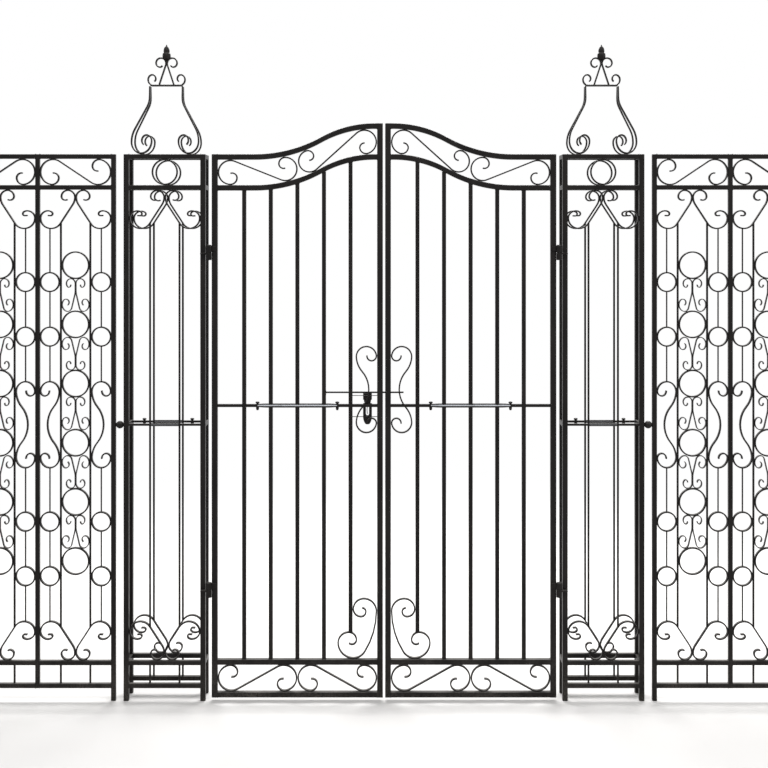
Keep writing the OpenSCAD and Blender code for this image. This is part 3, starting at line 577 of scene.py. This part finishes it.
def highlight_material(name):
    """Black paint on a round bar with a painted highlight: bright, partly metallic steel where the edge
    attribute is near 1, broken by patches of black, with smears in the roughness."""
    made, ink, out = blank_material(name)
    at = ink.add("ShaderNodeTexCoord", out=3)
    smears = ink.add("ShaderNodeTexNoise", {}, {"Vector": at, "Scale": 38, "Detail": 4, "Roughness": 0.6})
    patches = ink.add("ShaderNodeTexNoise", {}, {"Vector": at, "Scale": 21, "Detail": 5, "Roughness": 0.65})
    # Painted highlight mask: where the edge attribute is near 1, the bar is painted bright.
    highlight_band = ink.add("ShaderNodeAttribute", {"attribute_name": "edge"}, out=2).clip(0.93, 0.995)
    bright = highlight_band * (1 - patches.clip(0.52, 0.68) * 0.45)
    tone = ink.add("ShaderNodeMix", {"data_type": "RGBA"}, {
        0: bright, 6: HIGHLIGHT_BASE_BLACK, 7: HIGHLIGHT_TONE}, out=2)
    shell = ink.add("ShaderNodeBsdfPrincipled", {}, {
        "Base Color": tone, "Metallic": bright * 0.35, "Roughness": smears * 0.2 + (0.36 - bright * 0.12),
        "Specular IOR Level": 0.14})
    ink.tree.links.new(shell.socket, out.inputs["Surface"])
    return made


def highlight_band(part, centre, lift=0.15, amount=1.0):
    """A level turned part with a painted highlight band on its front and back: edge = amount
    (1 - (z - lift)^2 / 2), where z is the height above the centre as a share of the radius."""
    off = part[0] - centre
    return *part[:3], amount * (1 - (off[:, 2] / np.hypot(off[:, 1], off[:, 2]) - lift) ** 2 / 2)


highlight_steel = highlight_material("highlight_steel")
swell_from, swell_to = (INNER_NEAR + BAR_PITCH * n for n in STUD_BARS)
taper = np.linspace(0, 1, 9)
swell_half = MID_THICK / 2 + (SWELL_R - MID_THICK / 2) * np.sin(taper * np.pi / 2)
swell_end = np.column_stack([swell_half, taper * SWELL_TAPER])
swell_profile = np.vstack([swell_end, (swell_end * (1, -1) + (0, swell_to - swell_from))[::-1]])
for side, hand in SIDES:
    studs = [rail_stud(spot(side, x, MID_Z), MID_THICK) for x in (swell_from, swell_to)]
    runs = ((INNER_NEAR - SUNK, swell_from + SWELL_LAP), (swell_to - SWELL_LAP, INNER_FAR + SUNK))
    ends = [carried(spot(side, run, MID_Z), mid_section, wear_steps=4) for run in runs]
    start = spot(side, swell_from, MID_Z)
    # The swell carries a painted highlight band along its front and back.
    swell = highlight_band(turned(swell_profile, start, axis=(side, 0, 0), sides=32), start)
    piece(f"{hand}_hand_rail", [*ends, *studs], rail_paint, f"{hand}_leaf", f"{hand}_leaf_mid_rail")
    piece(f"{hand}_hand_swell", [swell], highlight_steel, f"{hand}_leaf", f"{hand}_leaf_mid_rail")

# Hinges
# A capped knuckle on a strap that is welded to the leaf's stile, dropped over a pin in a fixed
# barrel, which a lug holds on the pier's post. Turned and cut steel, greased, painted black.

HINGE_X, HINGE_Y = LEAF_FAR + 9, -17
KNUCKLE_R, KNUCKLE_BORE, KNUCKLE_HIGH = 11, 6.4, 27
KNUCKLE_CAP = [(0, 5.4), (0.4, 4), (1.4, 2.4), (3.4, 0.8), (6, 0.1)]
NECK = 1
LUG_THICK, LUG_WALL, LUG_SHORT = 6, 2, 2
UNWORN = 99
BARREL_R, BARREL_DROP = 10, 20
PIN_R = 6
HINGE_Z = (391, 1567)
POST = 18
GATE_HALF = 624
STRAP, STRAP_LONG, STRAP_HIGH = 5, 25, 17

knuckle_profile = [(KNUCKLE_BORE, 0), (KNUCKLE_R - 0.8, 0), (KNUCKLE_R, 0.8),
                   *[(KNUCKLE_R - d, KNUCKLE_HIGH - h) for d, h in KNUCKLE_CAP], (0, KNUCKLE_HIGH)]
barrel_foot = -BARREL_DROP - LUG_THICK
pin_profile = [(0, barrel_foot), (BARREL_R - 2.4, barrel_foot), (BARREL_R - 0.8, barrel_foot + 0.5),
               (BARREL_R, barrel_foot + 1.6), (BARREL_R, -1.2), (BARREL_R - 0.4, -0.4), (BARREL_R - 1.4, 0),
               (PIN_R, 0), (PIN_R, NECK + 4)]
washer_profile = [(6.5, -0.9), (8.8, -0.9), (9.4, -0.7), (9.4, -0.3), (8.8, -0.1), (6.5, -0.1)]
strap_y = -STILE / 2 - STRAP / 2
lug_reach = GATE_HALF + POST - LUG_SHORT - HINGE_X
lug_side = PIN_R + LUG_WALL
lug_turn = np.radians(np.linspace(90, 270, 13))
lug_outline = np.vstack([np.stack([lug_side * np.cos(lug_turn), lug_side * np.sin(lug_turn)], -1),
                         [(lug_reach, -lug_side), (lug_reach, lug_side)]])


def handed(outline, side):
    """An outline turned over for the left half, still drawn the same way round."""
    return outline if side == RIGHT else (outline * (-1, 1))[::-1]


hinge_paint = painted_iron("hinge_paint", dents=0.25, dent_size=90, sheen=0.30, worn=0.7, dust_and_top_light=0.15)
for side, hand in SIDES:
    straps, pins = [], []
    for z in HINGE_Z:
        at = spot(side, HINGE_X, z, HINGE_Y)
        straps += [turned(knuckle_profile, at, sides=32),
                   carried(spot(side, [HINGE_X - STRAP_LONG, HINGE_X], z + KNUCKLE_HIGH / 2, strap_y),
                           bar_section(STRAP_HIGH, STRAP, 1.0))]
        low = spot(side, HINGE_X, z - NECK, HINGE_Y)
        lug = np.stack([low - (0, 0, LUG_THICK), low])
        pins += [turned(pin_profile, low, sides=24), turned(washer_profile, at, sides=28),
                 carried(lug, handed(lug_outline, side), wear_steps=UNWORN)]
    piece(f"{hand}_knuckle_straps", straps, hinge_paint, f"{hand}_leaf", f"{hand}_leaf_knuckles")
    piece(f"{hand}_pin_lugs", pins, hinge_paint, "standing_work", f"{hand}_pier_hinge_pins")

# Bolt
# A round rod that slides behind the leaves in three guides, with a handle that hangs under
# it: a block, a neck behind the middle rail and a slotted hasp. Worn steel under thin paint.

ROD_R = 3
ROD_Y, ROD_Z = 17.2, 1075
ROD_TAIL, ROD_TIP = -217, 69
HANDLE_X, HANDLE_HALF, HANDLE_THICK = -58, 15.5, 10
BLOCK_SPAN, NECK_SPAN, COLLAR_SPAN = (-26, -3.1), (-33, -24), (-41, -31)
TONGUE_TOP, TONGUE_FOOT = -47, -76
GUIDE_LONG, GUIDE_R, BORE_R = 14, 8, 3.6
STAY_R = 1.25


def pierced(outer, inner, centre, e1, e2, e3, thick, bevel=0.8):
    """A plate with a hole: rings of one count round the hole and round the edge, joined over
    both faces and both walls. Point = centre + u * e1 + v * e2 + w * e3, with bevelled edges."""
    shrink = outer - bevel * outer / np.linalg.norm(outer - inner.mean(0), axis=1, keepdims=True)
    widen = inner + bevel * inner / np.linalg.norm(inner, axis=1, keepdims=True)
    t = thick / 2
    columns = [(shrink, -t), (outer, bevel - t), (outer, t - bevel), (shrink, t),
               (widen, t), (inner, t - bevel), (inner, bevel - t), (widen, -t)]
    flat = np.stack([np.column_stack([o, np.full(len(o), w)]) for o, w in columns], 1)
    points = np.asarray(centre, float) + flat @ np.array([e1, e2, e3], float)
    wear = np.tile([0, 1, 1, 0, 0, 0, 0, 0], len(outer)).astype(float)
    quads, _ = ring_faces(len(outer), len(columns), loop=True)
    grid = points.reshape(-1, 3)
    a, b, c = (grid[quads[:, k]] for k in (0, 1, 2))
    outward = (np.cross(b - a, c - b) * (a - grid.mean(0))).sum() > 0
    return grid, quads if outward else quads[:, ::-1], [], wear


def around(outline, count, middle=(0, 0)):
    """Where rays at even angles from the middle meet a closed outline round it."""
    middle = np.asarray(middle, float)
    a, b = outline - middle, np.roll(outline, -1, 0) - middle
    angle = np.arange(count) * 2 * np.pi / count + 1e-4
    ray = np.stack([np.cos(angle), np.sin(angle)], -1)[:, None]
    edge_way = (b - a)[None]
    cross = ray[..., 0] * edge_way[..., 1] - ray[..., 1] * edge_way[..., 0]
    far = (a[None, :, 0] * edge_way[..., 1] - a[None, :, 1] * edge_way[..., 0]) / cross
    along = (a[None, :, 0] * ray[..., 1] - a[None, :, 1] * ray[..., 0]) / cross
    far = np.where((along >= 0) & (along <= 1) & (far > 0), far, np.inf).min(1)
    return ray[:, 0] * far[:, None]


def circle(radius, count):
    """A circle as a closed outline: radius times (cos a, sin a) at even angles."""
    a = np.arange(count) * 2 * np.pi / count + 1e-4
    return radius * np.stack([np.cos(a), np.sin(a)], -1)


def guide(x, y0):
    """A guide for the rod at x: a bar's end bent round it, flat at the foot on y0."""
    turn = np.radians(np.linspace(-90, 90, 13))
    loop = np.vstack([GUIDE_R * np.stack([np.cos(turn), np.sin(turn)], -1),
                      [(y0 - ROD_Y, GUIDE_R), (y0 - ROD_Y, -GUIDE_R)]])
    return pierced(around(loop, 40), circle(BORE_R, 40), (GATE_MIDDLE + x, ROD_Y, ROD_Z),
                   (0, 1, 0), (0, 0, 1), (1, 0, 0), GUIDE_LONG)


rod_end = [(0, 0), (ROD_R - 1, 0.1), (ROD_R - 0.2, 0.7), (ROD_R, 1.6)]
rod_profile = rod_end + [(r, ROD_TIP - ROD_TAIL - h) for r, h in rod_end[::-1]]
bolt_paint = painted_iron("bolt_paint", dents=0.3, dent_size=110, sheen=0.30, worn=0.6, dust_and_top_light=0.06)
piece("bolt_bar", [turned(rod_profile, (GATE_MIDDLE + ROD_TAIL, ROD_Y, ROD_Z), axis=(1, 0, 0), sides=20)],
      bolt_paint, "bolt", "bolt_rod", slot="bolt_iron")

handle_at = np.array([GATE_MIDDLE + HANDLE_X, ROD_Y, ROD_Z], float)
hasp_half = np.array([(HANDLE_HALF, -38), (HANDLE_HALF, -90), (13.4, -99), (10.5, -106), (6.2, -112)])
hasp = np.vstack([hasp_half, hasp_half[::-1] * (-1, 1)])
slot_half = np.array([(5.5, -49), (5.5, -76), (3.4, -80.4)])
slot_hole = np.vstack([slot_half, slot_half[::-1] * (-1, 1)])
slot_middle = (0, -65)


def handle_bar(span, width, depth, corner):
    """A bar of the handle, upright between two depths below the rod."""
    return carried(handle_at + [(0, 0, z) for z in span], bar_section(width, depth, corner))


piece("bolt_grip", [
    handle_bar(BLOCK_SPAN, 2 * HANDLE_HALF, HANDLE_THICK, 1.6),
    handle_bar(NECK_SPAN, 25, HANDLE_THICK - 1, 2.4),
    handle_bar(COLLAR_SPAN, 22.4, HANDLE_THICK - 1.6, 1.6),
    pierced(around(hasp, 72, slot_middle), around(slot_hole, 72, slot_middle),
            handle_at + (0, 0, slot_middle[1]), (1, 0, 0), (0, 0, 1), (0, 1, 0), HANDLE_THICK, 1.0),
], bolt_paint, "bolt", "bolt_handle", slot="bolt_iron")

tongue_z = np.linspace(TONGUE_TOP, TONGUE_FOOT, 12)
down = (tongue_z - TONGUE_TOP) * np.pi
tongue = np.stack([1.5 * np.sin(down / (TONGUE_TOP - TONGUE_FOOT)), 1.2 * np.sin(down / 14), tongue_z], -1)
piece("bolt_tongue", [carried(handle_at + tongue, bar_section(2.6, 3.4, 0.8))], bolt_paint,
      "bolt", slot="bolt_iron")

LEAF_STAYS = (ROD_Z - 9, ROD_Z - 83)
stay_ends = spot(LEFT, [INNER_NEAR - SUNK, INNER_NEAR + BAR_PITCH - BAR / 2 + SUNK], 0)
stays = [carried(stay_ends + (0, 0, z), circle(STAY_R, 10), wear_steps=UNWORN) for z in LEAF_STAYS]
piece("left_lock_wires", stays, bolt_paint, "left_leaf", "left_leaf_lock_stays", slot="bolt_iron")
piece("left_bolt_loops", [guide(-bar_x[1], BAR / 2), guide(-LEAF_NEAR - STILE / 2, STILE / 2)], hinge_paint,
      "left_leaf", "left_leaf_bolt_guides")
piece("right_bolt_loop", [guide(LEAF_NEAR + STILE / 2, STILE / 2)], hinge_paint,
      "right_leaf", "right_leaf_keeper")

# Pier frames
# Two flat frames of box tube, one behind the other, tied at the posts. Each has a ring band
# at the top, a thin middle rail at hand height and a low band at the foot.

PANEL_HALF = 125
PIER_X = GATE_HALF + POST + PANEL_HALF
PIER_DEEP = 75
RAIL = 16
BAND_RAIL, LOW_RAIL, FOOT_RAIL = FRAME_TOP - RAIL - BAND, 140, 60
RAIL_TOPS = (FRAME_TOP, BAND_RAIL, LOW_RAIL, FOOT_RAIL)
PIER_MID, PIER_MID_THICK = 964, 8
PIER_STUD = 85
SLEEVE_R, SLEEVE_HALF = 5.5, 48.2
THIN = 6.5
THIN_X = 51.5

post_section = bar_section(POST, POST, 1.9)
frame_section = bar_section(RAIL, RAIL, 1.7)
slim_section = bar_section(PIER_MID_THICK, PIER_MID_THICK, 1.6)
tie_section = bar_section(RAIL, POST, 1.7)
tie_run = [POST / 2 - SUNK, PIER_DEEP - POST / 2 + SUNK]
post_x = PANEL_HALF + POST / 2
panel_run = (PIER_X - PANEL_HALF - SUNK, PIER_X + PANEL_HALF + SUNK)
sleeve_end = [(SLEEVE_R - 0.9, SLEEVE_HALF), (SLEEVE_R - 0.2, SLEEVE_HALF - 0.6),
              (SLEEVE_R, SLEEVE_HALF - 1.6)]
sleeve_profile = [(r, -h) for r, h in sleeve_end] + sleeve_end[::-1]


def level_bar(side, x0, x1, z, section, y=0):
    """A straight bar that lies level along the gate."""
    return carried(spot(side, [x0, x1], z, y), section)


for side, hand in SIDES:
    middles = [spot(side, PIER_X, PIER_MID, y) for y in (0, PIER_DEEP)]
    # The sleeves get a narrow painted highlight line at mid height, front and back.
    sleeves = [highlight_band(turned(sleeve_profile, at, axis=(1, 0, 0), sides=28), at, 0, 0.96) for at in middles]
    piece(f"{hand}_pier_sleeves", sleeves, highlight_steel, "standing_work",
          f"{hand}_pier_front_frame", f"{hand}_pier_rear_frame")
    for y, face in ((0, "front"), (PIER_DEEP, "rear")):
        parts = [upright_bar(side, PIER_X + s * post_x, 0, FRAME_TOP, post_section, y) for s in (-1, 1)]
        parts += [level_bar(side, *panel_run, top - RAIL / 2, frame_section, y) for top in RAIL_TOPS]
        parts.append(level_bar(side, *panel_run, PIER_MID, slim_section, y))
        for top in RAIL_TOPS:
            parts += rail_beads(side, PIER_X - PANEL_HALF, PIER_X + PANEL_HALF, top - RAIL / 2, RAIL, y)
        if face == "rear":
            parts += [rail_stud(spot(side, PIER_X + s * PIER_STUD, PIER_MID, y), PIER_MID_THICK)
                      for s in (-1, 1)]
        piece(f"{hand}_{face}_tubes", parts, tube_paint, "standing_work", f"{hand}_pier_{face}_frame")
    ties = [carried(spot(side, PIER_X + s * post_x, top - RAIL / 2, tie_run), tie_section, across=(1, 0, 0))
            for s in (-1, 1) for top in (FRAME_TOP, BAND_RAIL, PIER_MID + RAIL / 2, LOW_RAIL)]
    piece(f"{hand}_tie_tubes", ties, tube_paint, "standing_work", f"{hand}_pier_ties")

# Pier panels
# V scrolls back to back on the rails, with two thin bars between them and rings in the band,
# in both faces of the pier. Flat bar rolled on a jig, tacked at every touch.

V_HIGH = 138
MERGE = 0.4
PANEL_TOP = BAND_RAIL - RAIL
RING_BAND_Z = BAND_RAIL + BAND / 2
V_BENDS = [(2.4, 0), (2, 114), (2.8, 40), (6, 30), (7.5, 90), (10.5, 148), (23, 0),
           (14, 32), (7, 90), (6.2, 90), (3.8, 125)]


def v_half(gap):
    """Right half of a V scroll group that stands at z = 0."""
    return fit(bend((0, 0), 176, V_BENDS), (SCROLL_THICK / 2 - MERGE, SCROLL_THICK / 2 + gap),
               (PANEL_HALF - SCROLL_THICK / 2 - gap, V_HIGH - SCROLL_THICK / 2))


def v_groups(side, x, y, gap, section):
    """The V groups on the lower rail and, turned over, under the second rail."""
    half = v_half(gap)
    return [scroll(side, half * (s, f), y, section, x, z)
            for s in (-1, 1) for f, z in ((1, LOW_RAIL), (-1, PANEL_TOP))]


def thin_bars(side, x, y, gap):
    """The thin bars, from V scroll to V scroll and across the low band."""
    reach = highest(v_half(gap), THIN_X)
    runs = ((LOW_RAIL + reach, PANEL_TOP - reach), (FOOT_RAIL - SUNK, LOW_RAIL - RAIL + SUNK))
    return [upright_bar(side, x + s * THIN_X, z0, z1, thin_section, y) for s in (-1, 1) for z0, z1 in runs]


def ring(side, x, z, radius, thick, section, y=0, count=40):
    """A ring bent from flat bar: the section carried round a circle."""
    a = np.arange(count) * 2 * np.pi / count
    r = radius - thick / 2
    return carried(spot(side, x + r * np.cos(a), z + r * np.sin(a), y), section, loop=True)


thin_section = bar_section(THIN, THIN, 0.9)
for side, hand in SIDES:
    bars, rolls, rings = [], [], []
    for y in (0, PIER_DEEP):
        bars += thin_bars(side, PIER_X, y, SEAT)
        rolls += v_groups(side, PIER_X, y, SEAT, flat_section)
        rings.append(ring(side, PIER_X, RING_BAND_Z, BAND / 2 - SEAT, SCROLL_THICK, flat_section, y, 48))
    piece(f"{hand}_pier_rods", bars, tube_paint, "standing_work", f"{hand}_pier_bars")
    piece(f"{hand}_pier_rolls", rolls, forged_paint, "standing_work", f"{hand}_pier_scrolls")
    piece(f"{hand}_pier_hoops", rings, forged_paint, "standing_work", f"{hand}_pier_rings")

# Pier tops
# Two lyres of rolled flat bar lean together on each pier and carry a saddle plate, with
# crooks, volutes and an acorn on it. Rolled bar, and an acorn turned from solid.

LYRE_HIGH, LYRE_HALF, LYRE_NECK = 242, 120, 47
SADDLE_LONG, SADDLE_DEEP, SADDLE_THICK = 112, 26, 5
CROOK_HIGH, CROOK_IN, CROOK_OUT = 38, 18, 9
VOLUTE_HIGH, VOLUTE_REACH = 97, 37
ACORN_HIGH, ACORN_R, ACORN_SUNK = 59, 14.5, 14
LYRE_BENDS = [(11, 0), (18, 32), (26, 0), (23, -32), (11.5, -90), (12, -90), (6, -90), (5.5, -90), (4.5, -60)]

lean = math.atan((PIER_DEEP / 2 - SADDLE_DEEP / 2 + SCROLL_DEEP / 2) / LYRE_HIGH)
lyre_base = SEAT + SCROLL_DEEP / 2 * math.sin(lean)
lyre_long = (LYRE_HIGH - SEAT - lyre_base - SCROLL_DEEP / 2 * math.sin(lean)) / math.cos(lean)
lyre_path = fit(bend((0, 0), 270, LYRE_BENDS), (LYRE_NECK, SCROLL_THICK / 2),
                (LYRE_HALF - SCROLL_THICK / 2, lyre_long))
crook_path = fit(bend((0, 0), 20, [(5, 70), (4.4, 90), (3.6, 90), (2.5, 70)]),
                 (SADDLE_LONG / 2 - CROOK_IN, SADDLE_THICK),
                 (SADDLE_LONG / 2 + CROOK_OUT, SADDLE_THICK + CROOK_HIGH - SCROLL_THICK / 2))
volute_path = fit(bend((0, 0), 109, [(21, 0), (5.5, -109), (5, -90), (4.2, -90), (2.6, -70)]),
                  (SCROLL_THICK / 2 - MERGE, SADDLE_THICK),
                  (VOLUTE_REACH, SADDLE_THICK + VOLUTE_HIGH - SCROLL_THICK / 2))
acorn_profile = np.array([
    (0, 0), (0.28, 0), (0.31, 0.05), (0.5, 0.085), (0.78, 0.115), (0.93, 0.16), (1, 0.23), (1, 0.33),
    (0.985, 0.40), (0.93, 0.46), (0.86, 0.485), (0.74, 0.50), (0.705, 0.52), (0.735, 0.56), (0.75, 0.62),
    (0.71, 0.70), (0.60, 0.79), (0.45, 0.85), (0.30, 0.885), (0.17, 0.91), (0.15, 0.95), (0.11, 0.985),
    (0, 1)]) * (ACORN_R, ACORN_HIGH)

for side, hand in SIDES:
    lyres = []
    for s in (-1, 1):
        for y, way in ((0, 1), (PIER_DEEP, -1)):
            tilt = np.array([0, way * math.sin(lean), math.cos(lean)])
            flat = spot(side, PIER_X + s * lyre_path[:, 0], 0, y) + (0, 0, FRAME_TOP + lyre_base)
            lyres.append(carried(flat + lyre_path[:, 1:] * tilt, flat_section,
                                 across=(0, math.cos(lean), -way * math.sin(lean))))
    piece(f"{hand}_lyre_rolls", lyres, forged_paint, "standing_work", f"{hand}_pier_lyres")
    top = FRAME_TOP + LYRE_HIGH
    crest = [level_bar(side, PIER_X - SADDLE_LONG / 2, PIER_X + SADDLE_LONG / 2, top + SADDLE_THICK / 2,
                       bar_section(SADDLE_THICK, SADDLE_DEEP, 1.2), PIER_DEEP / 2)]
    crest += [scroll(side, path * (s, 1), PIER_DEEP / 2, flat_section, PIER_X, top)
              for s in (-1, 1) for path in (crook_path, volute_path)]
    acorn_foot = spot(side, PIER_X, top + SADDLE_THICK + VOLUTE_HIGH - ACORN_SUNK, PIER_DEEP / 2)
    crest.append(turned(acorn_profile, acorn_foot, sides=36))
    piece(f"{hand}_crest_work", crest, forged_paint, "standing_work", f"{hand}_pier_crest")

# Fence
# A whole bay beside each pier: posts and rails of box tube, and between them two half bays
# of rolled work, rings and scroll pairs up the middle with small rings on wires beside them.

FENCE_POST, FENCE_CENTRE = 16, 15
FENCE_NEAR = GATE_HALF + 2 * POST + 2 * PANEL_HALF + 28
FENCE_INNER = FENCE_NEAR + FENCE_POST + PANEL_HALF
FENCE_MIDDLE = FENCE_INNER + PANEL_HALF + FENCE_CENTRE / 2
FENCE_OUTER = FENCE_MIDDLE + FENCE_CENTRE / 2 + PANEL_HALF
FENCE_FAR = FENCE_OUTER + PANEL_HALF + FENCE_POST
RING_TOP, RING_PITCH, RING_COUNT = 1522, 207, 6
SMALL_RINGS = (-59, -250, -897, -1088)
WAIST_HIGH = 306
PAIR_BENDS = [(7.6, 73), (6.2, 79), (16.2, 223), (26, 0), (47, 14), (48, 0),
              (15.4, 101), (23.7, 104), (11.4, 199)]
PAIR_TOP, PAIR_FOOT, PAIR_THICK = 2.6, 4.8, 3
WIRE = 4.5

mid_channel = 2 * THIN_X - THIN
side_channel = PANEL_HALF - THIN_X - THIN / 2
side_x = PANEL_HALF - side_channel / 2
ring_r, side_r = mid_channel / 2 + MERGE, side_channel / 2 + MERGE
pair_high = RING_PITCH - 2 * ring_r + PAIR_TOP + PAIR_FOOT
slat_section = bar_section(SCROLL_THICK, SCROLL_DEEP, 0.9, steps=2)
wire_section = bar_section(WIRE, WIRE, 0.8)
pair_section = bar_section(PAIR_THICK, SCROLL_DEEP, 0.7)
pair_path = fit(bend((0, 0), 255, PAIR_BENDS), (PAIR_THICK / 2 - MERGE, PAIR_THICK / 2),
                (mid_channel / 2 - PAIR_THICK / 2 + MERGE, pair_high - PAIR_THICK / 2))
pair_path += (0, ring_r - RING_PITCH / 2 - PAIR_FOOT)
waist_path = waist_scroll(2 * side_r, WAIST_HIGH) + (side_x - side_r, PIER_MID)
band_r = BAND / 2 - SCROLL_THICK / 2 + MERGE
band_x = PANEL_HALF - SCROLL_THICK / 2 + MERGE - band_r
band_path = s_scroll((-band_x, RING_BAND_Z), band_r, (band_x, RING_BAND_Z), band_r, -1)
small_ring_z = RING_TOP + np.array(SMALL_RINGS)
v_end = highest(v_half(-MERGE), side_x)
waist_end = WAIST_HIGH / 2 - SCROLL_THICK / 2
over, under = small_ring_z + side_r, small_ring_z - side_r
wire_ends = [(over[0], PANEL_TOP - v_end), (over[1], under[0]), (PIER_MID + waist_end, under[1]),
             (over[2], PIER_MID - waist_end), (over[3], under[2]), (LOW_RAIL + v_end, under[3])]


def half_bay(side, x, way):
    """Rolled work of one half bay, drawn as the outer one and turned over for the inner."""
    def rolled(path, s=1, section=slat_section):
        """One scroll of the half bay, turned over where s is -1."""
        return scroll(side, path * (s * way, 1), 0, section, x)

    work = v_groups(side, x, 0, -MERGE, slat_section) + [rolled(band_path)]
    for n in range(RING_COUNT):
        z = RING_TOP - n * RING_PITCH
        work.append(ring(side, x, z, ring_r, SCROLL_THICK, slat_section))
        if n < RING_COUNT - 1:
            flip = -1 if n % 2 else 1
            pair = pair_path * (1, flip) + (0, z - RING_PITCH / 2)
            work += [rolled(pair, s, pair_section) for s in (-1, 1)]
    for s in (-1, 1):
        work += [ring(side, x + s * side_x, z, side_r, SCROLL_THICK, slat_section, count=32)
                 for z in small_ring_z]
        work.append(rolled(waist_path, s))
    return work


for side, hand in SIDES:
    frame_parts = [upright_bar(side, x, 0, FRAME_TOP, bar_section(FENCE_POST, FENCE_POST, 1.7))
                   for x in (FENCE_NEAR + FENCE_POST / 2, FENCE_FAR - FENCE_POST / 2)]
    centre_section = bar_section(FENCE_CENTRE, FENCE_POST, 1.7)
    frame_parts.append(upright_bar(side, FENCE_MIDDLE, FOOT_RAIL - RAIL, FRAME_TOP, centre_section))
    bay_work = []
    for x, way in ((FENCE_INNER, -1), (FENCE_OUTER, 1)):
        for top in RAIL_TOPS:
            frame_parts.append(level_bar(side, x - PANEL_HALF - SUNK, x + PANEL_HALF + SUNK, top - RAIL / 2,
                                         frame_section))
            frame_parts += rail_beads(side, x - PANEL_HALF, x + PANEL_HALF, top - RAIL / 2, RAIL)
        frame_parts += thin_bars(side, x, 0, -MERGE)
        frame_parts += [upright_bar(side, x + s * side_x, z0 - 1, z1 + 1, wire_section)
                        for s in (-1, 1) for z0, z1 in wire_ends]
        bay_work += half_bay(side, x, way)
    piece(f"{hand}_fence_tubes", frame_parts, tube_paint, "standing_work", f"{hand}_fence_panel")
    piece(f"{hand}_fence_rolls", bay_work, forged_paint, "standing_work", f"{hand}_fence_panel")

# Couplings
# A ball on a short stub between each pier and its fence, at the height of the middle rail.
# Turned steel, welded at both ends.

COUPLING_X = FENCE_NEAR - 14
COUPLING_R = 13.5

swing = np.radians(np.linspace(-72, 72, 17))
ball = np.stack([COUPLING_R * np.cos(swing), COUPLING_R * np.sin(swing)], -1)
stub = np.array([(6.2, -14), (6.4, -13.2), (5, -12.84)])
stub_profile = np.vstack([stub, ball[1:-1], stub[::-1] * (1, -1)])
for side, hand in SIDES:
    coupling = turned(stub_profile, spot(side, COUPLING_X, PIER_MID), axis=(1, 0, 0), sides=28)
    piece(f"{hand}_coupling_ball", [coupling], hinge_paint, "standing_work", f"{hand}_coupling")
